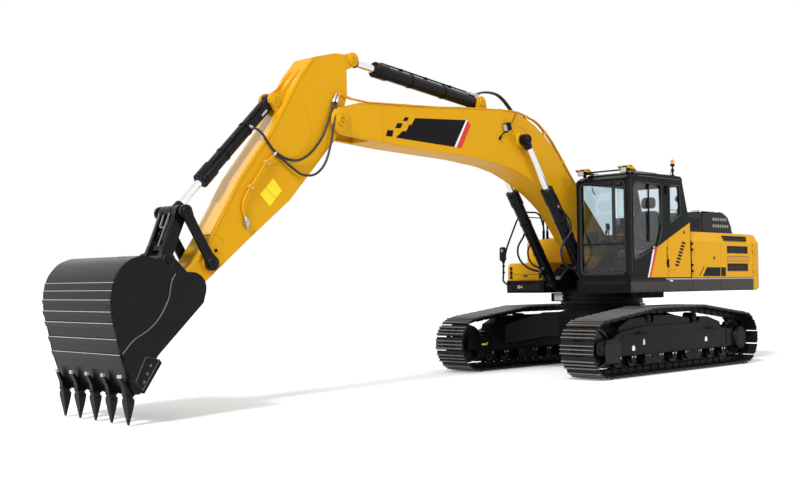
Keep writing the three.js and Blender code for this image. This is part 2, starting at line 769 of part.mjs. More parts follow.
// ---- arm
const armOutline = [
  [6607, 4436], [6228, 4540], [6090, 4545], [6024, 4420], [6024, 4300], [6021, 4006], [6180, 3480], [6241, 3382], [7004, 2552],
  [7631, 2057], [8274, 1530], ...arc(bucketPin, 118, -130, 40, 6), [8413, 1758], [8230, 2019],
  [7776, 2786], [7283, 3419], [6827, 4171],
];
const armSkin = sidePlate(armOutline, -armHalf, armHalf);
const armHollow = sidePlate(inset(armOutline, plateThick), -armHalf + plateThick, armHalf - plateThick);
const armEars = earAt(armCylEye, [[6120, 4500], [6036, 4330], [6150, 4300]], 70, 45);
const bucketCylEars = earAt(bucketCylFoot, [[6960, 3900], [7060, 3720], [7128, 3650]], 70, 45);
const armBores = [
  crossPin(boomTip, 62 + pinFit, -500, 500),
  crossPin(bucketPin, 50 + pinFit, -500, 500),
];
add(
  "arm",
  cut(
    join(
      cut(armSkin, armHollow),
      crossPin(boomTip, 130, -armHalf, armHalf, 16),
      crossPin(bucketPin, 110, -armHalf, armHalf, 16),
      crossPin(leverPin, 80, -leverY + seat, leverY - seat, 16),
      crossPin(leverPin, 50, -leverY - 45, leverY + 45),
      ...armEars,
      ...bucketCylEars,
      crossPin(bucketCylFoot, 50, -125, 125),
    ),
    ...armBores,
    crossPin([6300, 4492], 45, -60, 60),
  ),
  yellow,
);

// ---- bucket
const shellOut = [
  [9560, 335], [9601, 438], [9731, 740], [9800, 974], [9835, 1131], [9835, 1340], [9777, 1601],
  [9612, 1738], [9431, 1804], [9246, 1740], [8956, 1621], [8706, 1470], [8712, 1318], [9348, 665],
  [9494, 377],
];
const shellBack = [
  [9520, 300], [9571, 445], [9700, 748], [9768, 980], [9803, 1135], [9803, 1332], [9750, 1582],
  [9600, 1706], [9431, 1770], [9257, 1708], [8970, 1590], [8700, 1440], [8500, 1300], [9000, 700],
];
const bucketShell = cut(
  sidePlate(shellOut, -bucketHalf, bucketHalf),
  sidePlate(shellBack, -bucketHalf + 35, bucketHalf - 35),
);
const teeth = [-2, -1, 0, 1, 2].map((i) =>
  sidePlate([[9583, 8], [9600, 20], [9590, 440], [9480, 430], [9500, 330]], i * 362 - 50, i * 362 + 50),
);
const lip = box(9490, 9570, -bucketHalf, bucketHalf, 345, 400);
const ears = [1, -1].map((s) => {
  const y = [s * earIn, s * earOut].sort((a, b) => a - b);
  return sidePlate(
    hull([...arc(bucketPin, 120, 0, 336, 14), ...arc(linkPin, 105, 0, 336, 14), [9260, 1735], [8760, 1500]]),
    ...y,
  );
});
add(
  "bucket",
  join(bucketShell, ...teeth, lip, ...ears, crossPin(bucketPin, 50, -earOut, earOut), crossPin(linkPin, 45, -earOut, earOut)),
  steel,
);

// ---- bucket linkage
for (const [name, side] of [["left", 1], ["right", -1]]) {
  const y = [side * leverY, side * (leverY + 40)].sort((a, b) => a - b);
  const stub = [side * (linkOut + sideGap), side * (leverY + 20)].sort((a, b) => a - b);
  add(
    `lever_${name}`,
    cut(
      join(sidePlate(linkOutline(leverPin, leverTop, 95, 85), ...y), crossPin(leverTop, 60, ...stub, 16)),
      crossPin(leverPin, 50 + pinFit, -500, 500),
    ),
    steel,
  );
}
const linkPlates = [1, -1].map((s) => {
  const y = [s * 100, s * linkOut].sort((a, b) => a - b);
  return sidePlate(linkOutline(linkPin, leverTop, 85, 80), ...y);
});
add(
  "bucket_link",
  cut(
    join(...linkPlates, box(8660, 8790, -110, 110, 1960, 2120)),
    crossPin(linkPin, 45 + pinFit, -500, 500),
  ),
  steel,
);

// ---- cylinders
function cylinder(name, foot, eye, y, size) {
  const length = Math.hypot(eye[0] - foot[0], eye[1] - foot[1]);
  const { barrel, bore, rod, gland, inner, eyeRadius, halfEye, pin } = size;
  const neck = eyeRadius + 28;
  add(
    `${name}_barrel`,
    cut(
      join(
        bar(foot, eye, y, barrel, neck, gland - 70),
        bar(foot, eye, y, halfEye - 2, 40, neck + 10, 12),
        bar(foot, eye, y, barrel + 8, gland - 110, gland),
        crossPin(foot, eyeRadius, y - halfEye, y + halfEye, 16),
      ),
      bar(foot, eye, y, bore, neck + 30, gland - 100),
      bar(foot, eye, y, rod + rodFit, gland - 120, gland + 50),
      crossPin(foot, pin + pinFit, y - 300, y + 300),
    ),
    steel,
  );
  add(
    `${name}_rod`,
    join(bar(foot, eye, y, rod, inner, length - 40), crossPin(eye, eyeRadius, y - halfEye, y + halfEye, 16)),
    chrome,
  );
}
const boomCyl = { barrel: 92, bore: 76, rod: 52, gland: 1860, inner: 1090, eyeRadius: 88, halfEye: 52, pin: 50 };
cylinder("boom_cylinder_left", boomCylFoot, boomCylEye, boomCylOut, boomCyl);
cylinder("boom_cylinder_right", boomCylFoot, boomCylEye, -boomCylOut, boomCyl);
cylinder("arm_cylinder", armCylFoot, armCylEye, 0, {
  barrel: 98, bore: 80, rod: 56, gland: 2161, inner: 720, eyeRadius: 92, halfEye: 62, pin: 50,
});
cylinder("bucket_cylinder", bucketCylFoot, leverTop, 0, {
  barrel: 88, bore: 70, rod: 48, gland: 1524, inner: 570, eyeRadius: 85, halfEye: 62, pin: 50,
});

// ---- the box's middle goes over the origin
const middle = new THREE.Box3().setFromObject(machine).getCenter(new THREE.Vector3());
machine.position.set(-middle.x, -middle.y, 0);

export default machine;
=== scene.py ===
import math

import bmesh
import bpy
from mathutils import Matrix, Vector


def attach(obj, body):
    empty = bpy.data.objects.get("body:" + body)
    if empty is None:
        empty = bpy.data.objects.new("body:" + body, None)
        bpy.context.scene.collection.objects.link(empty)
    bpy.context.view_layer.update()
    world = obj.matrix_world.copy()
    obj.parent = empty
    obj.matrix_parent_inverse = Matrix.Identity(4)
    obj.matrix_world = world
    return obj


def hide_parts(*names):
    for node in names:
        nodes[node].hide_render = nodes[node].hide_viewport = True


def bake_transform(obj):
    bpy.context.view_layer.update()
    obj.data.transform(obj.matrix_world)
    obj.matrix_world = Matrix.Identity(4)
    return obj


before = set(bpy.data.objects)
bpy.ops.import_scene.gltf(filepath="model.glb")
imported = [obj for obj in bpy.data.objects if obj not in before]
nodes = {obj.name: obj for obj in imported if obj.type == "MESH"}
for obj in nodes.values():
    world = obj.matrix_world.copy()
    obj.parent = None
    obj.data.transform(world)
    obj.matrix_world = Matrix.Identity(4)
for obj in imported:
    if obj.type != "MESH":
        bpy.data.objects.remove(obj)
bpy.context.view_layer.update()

scene = bpy.context.scene
slewAxisX = -3.195  # places below are in millimetres from the slewing axis


def at(x, y, z):
    return Vector((x / 1000 + slewAxisX, y / 1000, z / 1000))


# camera, floor and light
view = {
    "place": (12.5552, 11.1161, 1.4749),
    "yaw": -2.3676,
    "pitch": 0.0389,
    "roll": -0.0116,
    "focal": 1097.38,
    "frameWidth": 800,  # focal and shift are in these units
    "sensorWidth": 36,
    "shift": (-24.38, 0.72),
}


def aimCamera():
    data = bpy.data.cameras.new("camera")
    data.sensor_width = view["sensorWidth"]
    data.lens = view["focal"] * view["sensorWidth"] / view["frameWidth"]
    data.shift_x, data.shift_y = (shift / view["frameWidth"] for shift in view["shift"])
    data.clip_end = 400
    camera = bpy.data.objects.new("camera", data)
    scene.collection.objects.link(camera)
    yaw, pitch, roll = view["yaw"], view["pitch"], view["roll"]
    ahead = Vector((math.cos(yaw) * math.cos(pitch), math.sin(yaw) * math.cos(pitch), math.sin(pitch)))
    level = Vector((math.sin(yaw), -math.cos(yaw), 0))
    above = level.cross(ahead)
    right = math.cos(roll) * level + math.sin(roll) * above
    up = math.cos(roll) * above - math.sin(roll) * level
    turn = Matrix((right, up, -ahead)).transposed().to_4x4()
    camera.matrix_world = Matrix.Translation(view["place"]) @ turn
    scene.camera = camera


studio = {
    "sunPower": 2.7,
    "sunFrom": (0.75, 0.24, 0.66),
    "sunAngle": 12,
    "fillPower": 0.55,
    "fillFrom": (-0.1, 0.9, 0.35),
    "skyPower": 0.62,
    "floorHalf": 150,
    "floorColor": 0.86,
    "floorGlow": 0.22,
    "floorLevel": -0.004,
}


def lightStudio():
    for name, power, source in (
        ("sun", studio["sunPower"], studio["sunFrom"]),
        ("fill", studio["fillPower"], studio["fillFrom"]),
    ):
        lamp = bpy.data.lights.new(name, "SUN")
        lamp.energy = power
        lamp.angle = math.radians(studio["sunAngle"])
        holder = bpy.data.objects.new(name, lamp)
        holder.rotation_euler = Vector(source).to_track_quat("Z", "Y").to_euler()
        scene.collection.objects.link(holder)
    world = bpy.data.worlds.new("studioSky")
    world.use_nodes = True
    scene.world = world
    tree = world.node_tree
    sky = tree.nodes["Background"]
    sky.inputs["Color"].default_value = (1, 1, 1, 1)
    path = tree.nodes.new("ShaderNodeLightPath")
    seen = tree.nodes.new("ShaderNodeMath")
    seen.operation = "MAXIMUM"
    clear = tree.nodes.new("ShaderNodeMath")
    clear.operation = "MAXIMUM"
    power = tree.nodes.new("ShaderNodeMapRange")
    power.inputs["To Min"].default_value = studio["skyPower"]
    power.inputs["To Max"].default_value = 1
    tree.links.new(path.outputs["Is Camera Ray"], seen.inputs[0])
    tree.links.new(path.outputs["Is Glossy Ray"], seen.inputs[1])
    tree.links.new(seen.outputs[0], clear.inputs[0])
    tree.links.new(path.outputs["Is Transmission Ray"], clear.inputs[1])
    tree.links.new(clear.outputs[0], power.inputs["Value"])
    tree.links.new(power.outputs[0], sky.inputs["Strength"])
    scene.view_settings.view_transform = "Standard"


def layFloor():
    half = studio["floorHalf"]
    mesh = bpy.data.meshes.new("floor")
    corners = [(x * half, y * half, studio["floorLevel"]) for x, y in ((-1, -1), (1, -1), (1, 1), (-1, 1))]
    mesh.from_pydata(corners, [], [(0, 1, 2, 3)])
    floor = bpy.data.objects.new("floor", mesh)
    scene.collection.objects.link(floor)
    paint = bpy.data.materials.new("floorWhite")
    paint.use_nodes = True
    shader = paint.node_tree.nodes["Principled BSDF"]
    shader.inputs["Base Color"].default_value = (studio["floorColor"],) * 3 + (1,)
    shader.inputs["Roughness"].default_value = 1
    shader.inputs["Specular IOR Level"].default_value = 0
    shader.inputs["Emission Color"].default_value = (1, 1, 1, 1)
    path = paint.node_tree.nodes.new("ShaderNodeLightPath")
    lift = paint.node_tree.nodes.new("ShaderNodeMath")
    lift.operation = "MULTIPLY"
    lift.inputs[1].default_value = studio["floorGlow"]
    paint.node_tree.links.new(path.outputs["Is Camera Ray"], lift.inputs[0])
    paint.node_tree.links.new(lift.outputs[0], shader.inputs["Emission Strength"])
    mesh.materials.append(paint)


aimCamera()
lightStudio()
layFloor()
print("camera, light and floor set")


# shared shader groups
def newGroup(name, kind, inputs, outputs):
    group = bpy.data.node_groups.new(name, kind)
    for label, socket, value in inputs:
        made = group.interface.new_socket(label, in_out="INPUT", socket_type=socket)
        if value is not None:
            made.default_value = value
    for label, socket in outputs:
        group.interface.new_socket(label, in_out="OUTPUT", socket_type=socket)
    return group, group.nodes.new("NodeGroupInput"), group.nodes.new("NodeGroupOutput")


def addNode(tree, kind, operation=None, sources=None, **values):
    node = tree.nodes.new(kind)
    if operation:
        node.operation = operation
    for label, value in values.items():
        key = int(label[2:]) if label.startswith("at") else label
        node.inputs[key].default_value = value
    for key, source in (sources or {}).items():
        tree.links.new(source, node.inputs[key])
    return node


floatSocket, colorSocket = "NodeSocketFloat", "NodeSocketColor"
bevelSamples = 4


def buildPaintGroup():
    group, start, end = newGroup(
        "paintSurface", "ShaderNodeTree",
        [("Color", colorSocket, (0.5, 0.5, 0.5, 1)), ("Roughness", floatSocket, 0.4),
         ("Mottle", floatSocket, 0.1),
         ("Mottle Scale", floatSocket, 2.0), ("Rough Spread", floatSocket, 0.1),
         ("Grain Scale", floatSocket, 400.0),
         ("Grain", floatSocket, 0.2)],
        [("Color", colorSocket), ("Roughness", floatSocket), ("Height", floatSocket)],
    )
    given = start.outputs
    place = addNode(group, "ShaderNodeTexCoord").outputs["Object"]

    def noise(scale, detail):
        sources = {"Vector": place, "Scale": scale}
        return addNode(group, "ShaderNodeTexNoise", None, sources, Detail=detail).outputs["Fac"]

    def maths(operation, *sources, **values):
        return addNode(group, "ShaderNodeMath", operation, dict(enumerate(sources)), **values).outputs[0]

    mottle = maths("SUBTRACT", noise(given["Mottle Scale"], 5.0), at1=0.5)
    gain = maths("ADD", maths("MULTIPLY", mottle, given["Mottle"]), at1=1.0)
    tint = addNode(group, "ShaderNodeVectorMath", "SCALE", {0: given["Color"], "Scale": gain})
    smears = maths("SUBTRACT", noise(maths("MULTIPLY", given["Mottle Scale"], at1=5.3), 3.0), at1=0.5)
    rough = maths("MULTIPLY_ADD", smears, given["Rough Spread"], given["Roughness"])
    height = maths("MULTIPLY", noise(given["Grain Scale"], 1.0), given["Grain"])
    for label, source in (("Color", tint.outputs[0]), ("Roughness", rough), ("Height", height)):
        group.links.new(source, end.inputs[label])
    return group


# Edge mask from the Bevel normal, broken by noise: it lightens edges, partly as paint wear and partly as a
# painted highlight of edges catching the light.
def buildWornAndHighlightGroup():
    group, start, end = newGroup(
        "edgeWornAndHighlight", "ShaderNodeTree",
        [("Width", floatSocket, 0.006), ("Amount", floatSocket, 0.5), ("Patch Scale", floatSocket, 14.0)],
        [("Mask", floatSocket)],
    )
    given = start.outputs
    softened = addNode(group, "ShaderNodeBevel", None, {"Radius": given["Width"]})
    softened.samples = bevelSamples
    flat = addNode(group, "ShaderNodeNewGeometry").outputs["Normal"]
    same = addNode(group, "ShaderNodeVectorMath", "DOT_PRODUCT", {0: softened.outputs[0], 1: flat})
    away = addNode(group, "ShaderNodeMath", "SUBTRACT", {1: same.outputs["Value"]}, at0=1.0)
    place = addNode(group, "ShaderNodeTexCoord").outputs["Object"]
    patches = addNode(group, "ShaderNodeTexNoise", None, {"Vector": place, "Scale": given["Patch Scale"]},
                      Detail=4.0)
    broken = addNode(group, "ShaderNodeMapRange", None, {"Value": patches.outputs["Fac"]}, at1=0.4, at2=0.62)
    edge = addNode(group, "ShaderNodeMath", "MULTIPLY", {0: away.outputs[0], 1: broken.outputs[0]})
    mask = addNode(group, "ShaderNodeMath", "MULTIPLY", {0: edge.outputs[0], 1: given["Amount"]})
    mask.use_clamp = True
    group.links.new(mask.outputs[0], end.inputs["Mask"])
    return group


paintGroup = buildPaintGroup()
wornAndHighlightGroup = buildWornAndHighlightGroup()

plainLook = {
    "color": (0.5, 0.5, 0.5), "rough": 0.4, "metal": 0.0, "coat": 0.0, "coatRough": 0.1, "specular": 0.5,
    "mottle": 0.12, "mottleScale": 1.6, "roughSpread": 0.12, "grainScale": 260.0, "grain": 0.15,
    "bevel": 0.004, "wear": 0.0, "wornAndHighlightWidth": 0.006, "wearColor": (0.5, 0.48, 0.45), "wearRough": 0.35,
    "tip": "", "sheen": 0.0,
}


def newMaterial(name, values, paint):
    material = bpy.data.materials.new(name)
    material.use_nodes = True
    tree = material.node_tree
    shader = tree.nodes["Principled BSDF"]
    surface = tree.nodes.new("ShaderNodeGroup")
    surface.node_tree = paintGroup
    for node, given in ((shader, values), (surface, paint)):
        for label, value in given.items():
            node.inputs[label].default_value = value
    return material, tree, shader, surface


def makeFinish(name, **changes):
    look = {**plainLook, **changes}
    material, tree, shader, surface = newMaterial(
        name,
        {"Metallic": look["metal"], "Coat Weight": look["coat"], "Coat Roughness": look["coatRough"],
         "Specular IOR Level": look["specular"], "Sheen Weight": look["sheen"]},
        {"Color": (*look["color"], 1), "Roughness": look["rough"], "Mottle": look["mottle"],
         "Mottle Scale": look["mottleScale"], "Rough Spread": look["roughSpread"],
         "Grain Scale": look["grainScale"], "Grain": look["grain"]},
    )
    link = tree.links.new
    bump = addNode(tree, "ShaderNodeBump", None, {"Height": surface.outputs["Height"]}, Strength=0.25,
                   Distance=0.001)
    if look["bevel"]:
        softened = addNode(tree, "ShaderNodeBevel", Radius=look["bevel"])
        softened.samples = bevelSamples
        link(softened.outputs[0], bump.inputs["Normal"])
    link(bump.outputs[0], shader.inputs["Normal"])
    color, rough = surface.outputs["Color"], surface.outputs["Roughness"]
    mask = None
    # lighter edges from the edge mask: partly paint wear, partly painted highlight; the grouser tips below are
    # real wear
    if look["wear"]:
        wear = tree.nodes.new("ShaderNodeGroup")
        wear.node_tree = wornAndHighlightGroup
        wear.inputs["Width"].default_value = look["wornAndHighlightWidth"]
        wear.inputs["Amount"].default_value = look["wear"]
        mask = wear.outputs["Mask"]
    if look["tip"]:
        tip = tree.nodes.new("ShaderNodeAttribute")
        tip.attribute_name = look["tip"]
        worn = tip.outputs["Fac"]
        mask = addNode(tree, "ShaderNodeMath", "MAXIMUM", {0: mask, 1: worn}).outputs[0] if mask else worn
    if mask:
        mix = tree.nodes.new("ShaderNodeMix")
        mix.data_type = "RGBA"
        link(mask, mix.inputs["Factor"])
        plainColor, wornAndHighlightColorInput = (socket for socket in mix.inputs if socket.type == "RGBA")
        link(color, plainColor)
        wornAndHighlightColorInput.default_value = (*look["wearColor"], 1)
        color = next(socket for socket in mix.outputs if socket.type == "RGBA")
        worn = addNode(tree, "ShaderNodeMapRange", None, {"Value": mask, "To Min": rough},
                       at4=look["wearRough"])
        rough = worn.outputs[0]
        metal = addNode(tree, "ShaderNodeMapRange", None, {"Value": mask}, at3=look["metal"], at4=0.85)
        link(metal.outputs[0], shader.inputs["Metallic"])
    link(color, shader.inputs["Base Color"])
    link(rough, shader.inputs["Roughness"])
    return material


finish = {
    "yellow": makeFinish("yellowPaint", color=(0.66, 0.33, 0.006), rough=0.42, coat=0.03, specular=0.08,
                         mottle=0.07, bevel=0.006),
    # lighter, glossier copy of the yellow paint: its lighter colour is a painted highlight for the arm's lit
    # front face
    "paintedHighlightYellow": makeFinish("paintedHighlightYellowPaint", color=(0.76, 0.4, 0.006), rough=0.3, coat=1.0, coatRough=0.12,
                            specular=0.5,
                            mottle=0.07, bevel=0.006),
    "castYellow": makeFinish("castYellowPaint", color=(0.64, 0.325, 0.008), rough=0.5, coat=0.02,
                             specular=0.08, mottle=0.1,
                             grainScale=90.0, grain=1.2, bevel=0.012),
    # the lighter edge colours of the black finishes below are partly wear, partly painted edge highlight
    "black": makeFinish("blackPaint", color=(0.004, 0.004, 0.0045), rough=0.34, specular=0.08, mottle=0.5,
                        wear=0.3, wearColor=(0.16, 0.16, 0.18)),
    "gloss": makeFinish("blackGloss", color=(0.004, 0.004, 0.005), rough=0.24, specular=0.17, mottle=0.4,
                        bevel=0.006,
                        wear=0.45, wearColor=(0.25, 0.26, 0.29)),
    "shell": makeFinish("bucketShell", color=(0.006, 0.006, 0.008), rough=0.3, specular=0.22, mottle=0.5,
                        mottleScale=3.0, grainScale=60.0, grain=0.4, bevel=0.005),
    # painted highlight: light grey lines for bucket strip edges and tooth adapters that catch the light
    "edgeHighlight": makeFinish("paintedEdgeHighlight", color=(0.5, 0.5, 0.53), rough=0.35, metal=0.4, mottle=0.7,
                             mottleScale=9.0,
                             bevel=0.0),
    "weldGrey": makeFinish("weldBead", color=(0.1, 0.1, 0.105), rough=0.4, metal=0.3, mottle=0.5,
                           mottleScale=40.0,
                           grainScale=120.0, grain=1.5, bevel=0.0),
    "toothSteel": makeFinish("toothSteel", color=(0.006, 0.006, 0.006), rough=0.35, specular=0.2, mottle=0.6,
                             mottleScale=12.0, grainScale=80.0, grain=1.5, wear=0.5,
                             wearColor=(0.25, 0.24, 0.23)),
    "steel": makeFinish("trackSteel", color=(0.008, 0.008, 0.0085), rough=0.36, metal=0.05, specular=0.25,
                        mottle=0.7, mottleScale=6.0,
                        tip="wearTip", wearColor=(0.3, 0.285, 0.275), wearRough=0.3, bevel=0.003),
    "frameBlack": makeFinish("frameBlack", color=(0.004, 0.004, 0.004), rough=0.4, specular=0.1, mottle=0.6,
                             wear=0.3, wearColor=(0.16, 0.16, 0.16)),
    "skirt": makeFinish("skirtBrown", color=(0.03, 0.025, 0.022), rough=0.4, specular=0.2, mottle=0.15),
    # pale grey for the skirt's top ledge: a painted highlight; the hood slots use the same paint
    "highlightPale": makeFinish("highlightPaleGrey", color=(0.36, 0.35, 0.34), rough=0.4, mottle=0.15),
    "chrome": makeFinish("chromeRod", color=(0.82, 0.83, 0.85), rough=0.12, metal=1.0, mottle=0.05,
                         roughSpread=0.06,
                         grain=0.02, bevel=0.0),
    "bright": makeFinish("brightSteel", color=(0.5, 0.5, 0.5), rough=0.32, metal=0.9, mottle=0.3,
                         mottleScale=30.0),
    "rubber": makeFinish("hoseRubber", color=(0.016, 0.016, 0.017), rough=0.4, specular=0.35, mottle=0.4,
                         mottleScale=20.0,
                         grain=0.5, bevel=0.0),
    "plastic": makeFinish("darkPlastic", color=(0.006, 0.006, 0.007), rough=0.5, specular=0.1, mottle=0.3,
                          grainScale=700.0, grain=0.8),
    "hoodGrey": makeFinish("hoodGrey", color=(0.007, 0.007, 0.0085), rough=0.34, specular=0.14, mottle=0.25),
    "trim": makeFinish("trimGrey", color=(0.16, 0.165, 0.17), rough=0.5, mottle=0.15),
    "engine": makeFinish("engineGrey", color=(0.2, 0.2, 0.2), rough=0.5, metal=0.4, mottle=0.4,
                         mottleScale=8.0),
    "white": makeFinish("stickerWhite", color=(0.82, 0.82, 0.8), rough=0.4, mottle=0.05, bevel=0.0,
                        grain=0.02),
    "red": makeFinish("stickerRed", color=(0.6, 0.02, 0.012), rough=0.4, mottle=0.08, bevel=0.0, grain=0.02),
    "label": makeFinish("stickerBlack", color=(0.005, 0.005, 0.006), rough=0.36, specular=0.08, mottle=0.2,
                        bevel=0.0, grain=0.02),
    "noteYellow": makeFinish("stickerYellow", color=(0.86, 0.66, 0.005), rough=0.4, mottle=0.05, bevel=0.0,
                             grain=0.02),
    "bandYellow": makeFinish("bandYellow", color=(0.5, 0.24, 0.003), rough=0.45, mottle=0.1),
    "amber": makeFinish("amberLens", color=(0.85, 0.22, 0.01), rough=0.15, coat=0.8, mottle=0.1, bevel=0.0),
    "lens": makeFinish("lampLens", color=(0.42, 0.44, 0.46), rough=0.12, coat=0.9, mottle=0.25,
                       mottleScale=60.0),
    "vent": makeFinish("ventBrown", color=(0.035, 0.024, 0.016), rough=0.5, mottle=0.3),
    "grip": makeFinish("stepGrip", color=(0.02, 0.02, 0.02), rough=0.7, mottle=0.5, grainScale=160.0,
                       grain=2.0),
}


def makeGlass():
    material, tree, shader, surface = newMaterial(
        "cabGlass",
        {"Transmission Weight": 1, "IOR": 1.35, "Metallic": 0},
        {"Color": (0.8, 0.87, 0.9, 1), "Roughness": 0.02, "Mottle": 0.08, "Mottle Scale": 1.2,
         "Rough Spread": 0.015},
    )
    tree.links.new(surface.outputs["Color"], shader.inputs["Base Color"])
    tree.links.new(surface.outputs["Roughness"], shader.inputs["Roughness"])
    return material


finish["glass"] = makeGlass()


def makeFabric():
    material, tree, shader, surface = newMaterial(
        "seatCloth",
        {"Sheen Weight": 0.4},
        {"Color": (0.03, 0.031, 0.034, 1), "Roughness": 0.85, "Mottle": 0.5, "Mottle Scale": 9},
    )
    place = addNode(tree, "ShaderNodeTexCoord").outputs["Object"]
    threads = {}
    for key, direction in enumerate(("X", "Z")):
        wave = addNode(tree, "ShaderNodeTexWave", None, {"Vector": place}, Scale=190.0, Distortion=0.6)
        wave.bands_direction = direction
        threads[key] = wave.outputs["Fac"]
    thread = addNode(tree, "ShaderNodeMath", "MULTIPLY", threads)
    bump = addNode(tree, "ShaderNodeBump", None, {"Height": thread.outputs[0]}, Strength=0.5, Distance=0.002)
    tree.links.new(bump.outputs[0], shader.inputs["Normal"])
    tree.links.new(surface.outputs["Color"], shader.inputs["Base Color"])
    tree.links.new(surface.outputs["Roughness"], shader.inputs["Roughness"])
    return material


finish["cloth"] = makeFabric()
print("finishes made")


def paintNodes():
    looks = {
        "yellow": ["boom", "arm", "bay_cover", "fuel_tank", "hydraulic_tank", "tool_box",
                   "side_door_left_front",
                   "side_door_left_rear", "side_door_right"],
        "castYellow": ["counterweight"],
        "steel": ["track_left", "track_right", "idler_left", "idler_right", "rollers_left", "rollers_right"],
        "frameBlack": ["car_body", "track_frame_left", "track_frame_right", "final_drive_left",
                       "final_drive_right",
                       "slewing_ring"],
        "gloss": ["bucket", "bucket_link", "lever_left", "lever_right"],
        "hoodGrey": ["hood", "intake_box"],
        "plastic": ["console_left", "console_right", "seat"],
        "chrome": ["boom_cylinder_left_rod", "boom_cylinder_right_rod", "arm_cylinder_rod",
                   "bucket_cylinder_rod"],
        "engine": ["engine"],
    }
    chosen = {name: look for look, names in looks.items() for name in names}
    for name, node in nodes.items():
        material = finish[chosen.get(name, "black")]
        node.data.materials.clear()
        node.data.materials.append(material)


paintNodes()


# mesh building
sharpAngle = math.radians(38)
joinedSharpAngle = math.radians(35)


class Piece:
    def __init__(self, name, body):
        self.name = name
        self.body = body
        self.mesh = bmesh.new()
        self.looks = []

    def take(self, part, look, bevel=0.0, steps=1, corner=30):
        if bevel:
            edges = [e for e in part.edges if e.is_manifold and e.calc_face_angle(0) > math.radians(corner)]
            if edges:
                bmesh.ops.bevel(part, geom=edges, offset=bevel / 1000, segments=steps, profile=0.6,
                                affect="EDGES", clamp_overlap=True)
        bmesh.ops.recalc_face_normals(part, faces=part.faces)
        if look not in self.looks:
            self.looks.append(look)
        index = self.looks.index(look)
        part.verts.index_update()
        made = [self.mesh.verts.new(vertex.co) for vertex in part.verts]
        for face in part.faces:
            new = self.mesh.faces.new([made[vertex.index] for vertex in face.verts])
            new.material_index = index
            new.smooth = True
        part.free()
        return self

    def hull(self, rings, look, bevel=0.0, steps=1, corner=30):
        part = bmesh.new()
        made = [[part.verts.new(point) for point in ring] for ring in rings]
        count = len(made[0])
        for low, high in zip(made, made[1:]):
            for i in range(count):
                part.faces.new((low[i], low[(i + 1) % count], high[(i + 1) % count], high[i]))
        part.faces.new(list(reversed(made[0])))
        part.faces.new(made[-1])
        return self.take(part, look, bevel, steps, corner)

    def box(self, low, high, look, bevel=4.0, steps=1):
        (x0, x1), (y0, y1), (z0, z1) = (sorted(pair) for pair in zip(low, high))
        return self.hull([levelRing(x0, x1, y0, y1, z) for z in (z0, z1)], look, bevel, steps)

    def block(self, middle, size, axes, look, bevel=4.0, steps=1):
        a, b, c = (Vector(axis).normalized() for axis in axes)
        base = at(*middle)
        half = [s / 2000 for s in size]
        rings = []
        for k in (-1, 1):
            rings.append([base + a * half[0] * i + b * half[1] * j + c * half[2] * k
                          for i, j in ((-1, -1), (1, -1), (1, 1), (-1, 1))])
        return self.hull(rings, look, bevel, steps)

    def plate(self, outline, low, high, look, bevel=3.0, steps=1, corner=30, plane="xz"):
        place = {"xz": lambda u, v, w: at(u, w, v), "yz": lambda u, v, w: at(w, u, v)}[plane]
        rings = [[place(u, v, w) for u, v in outline] for w in sorted((low, high))]
        return self.hull(rings, look, bevel, steps, corner)

    def lathe(self, profile, origin, axis, look, sides=32, bevel=0.0):
        along = Vector(axis).normalized()
        side = along.orthogonal().normalized()
        other = along.cross(side)
        base = at(*origin)
        part = bmesh.new()
        rings = []
        for distance, radius in profile:
            middle = base + along * distance / 1000
            if radius <= 0:
                rings.append([part.verts.new(middle)])
                continue
            ring = []
            for i in range(sides):
                turn = 2 * math.pi * i / sides
                reach = (side * math.cos(turn) + other * math.sin(turn)) * radius / 1000
                ring.append(part.verts.new(middle + reach))
            rings.append(ring)
        for low, high in zip(rings, rings[1:]):
            for i in range(sides):
                j = (i + 1) % sides
                if len(low) == 1:
                    part.faces.new((low[0], high[j], high[i]))
                elif len(high) == 1:
                    part.faces.new((low[i], low[j], high[0]))
                else:
                    part.faces.new((low[i], low[j], high[j], high[i]))
        for ring in (rings[0], rings[-1]):
            if len(ring) > 1:
                part.faces.new(ring)
        return self.take(part, look, bevel)

    def tube(self, path, radius, look, sides=10, closed=False):
        points = [Vector(p) for p in path]
        part = bmesh.new()
        count = len(points)
        rings = []
        side = None
        for i, point in enumerate(points):
            before = points[i - 1] if i or closed else points[0]
            after = points[(i + 1) % count] if i < count - 1 or closed else points[-1]
            ahead = (after - before).normalized()
            side = ahead.orthogonal() if side is None else side - ahead * side.dot(ahead)
            side.normalize()
            other = ahead.cross(side)
            rings.append([part.verts.new(point + (side * math.cos(2 * math.pi * k / sides)
                                                  + other * math.sin(2 * math.pi * k / sides)) * radius / 1000)
                          for k in range(sides)])
        pairs = list(zip(rings, rings[1:])) + ([(rings[-1], rings[0])] if closed else [])
        for low, high in pairs:
            for k in range(sides):
                part.faces.new((low[k], low[(k + 1) % sides], high[(k + 1) % sides], high[k]))
        if not closed:
            part.faces.new(list(reversed(rings[0])))
            part.faces.new(rings[-1])
        return self.take(part, look)

    def finish(self, *replaced, slot=None):
        mesh = bpy.data.meshes.new(self.name)
        self.mesh.to_mesh(mesh)
        self.mesh.free()
        mesh.set_sharp_from_angle(angle=sharpAngle)
        made = bpy.data.objects.new(self.name, mesh)
        for look in self.looks:
            mesh.materials.append(finish[look])
        scene.collection.objects.link(made)
        if self.body:
            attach(made, self.body)
        if replaced:
            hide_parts(*replaced)
        return made


def rect(x0, x1, z0, z1):
    return [(x0, z0), (x1, z0), (x1, z1), (x0, z1)]


def levelRing(x0, x1, y0, y1, z):
    return [at(x0, y0, z), at(x1, y0, z), at(x1, y1, z), at(x0, y1, z)]


def uprightRing(x, y0, y1, z0, z1):
    return [at(x, y0, z0), at(x, y1, z0), at(x, y1, z1), at(x, y0, z1)]


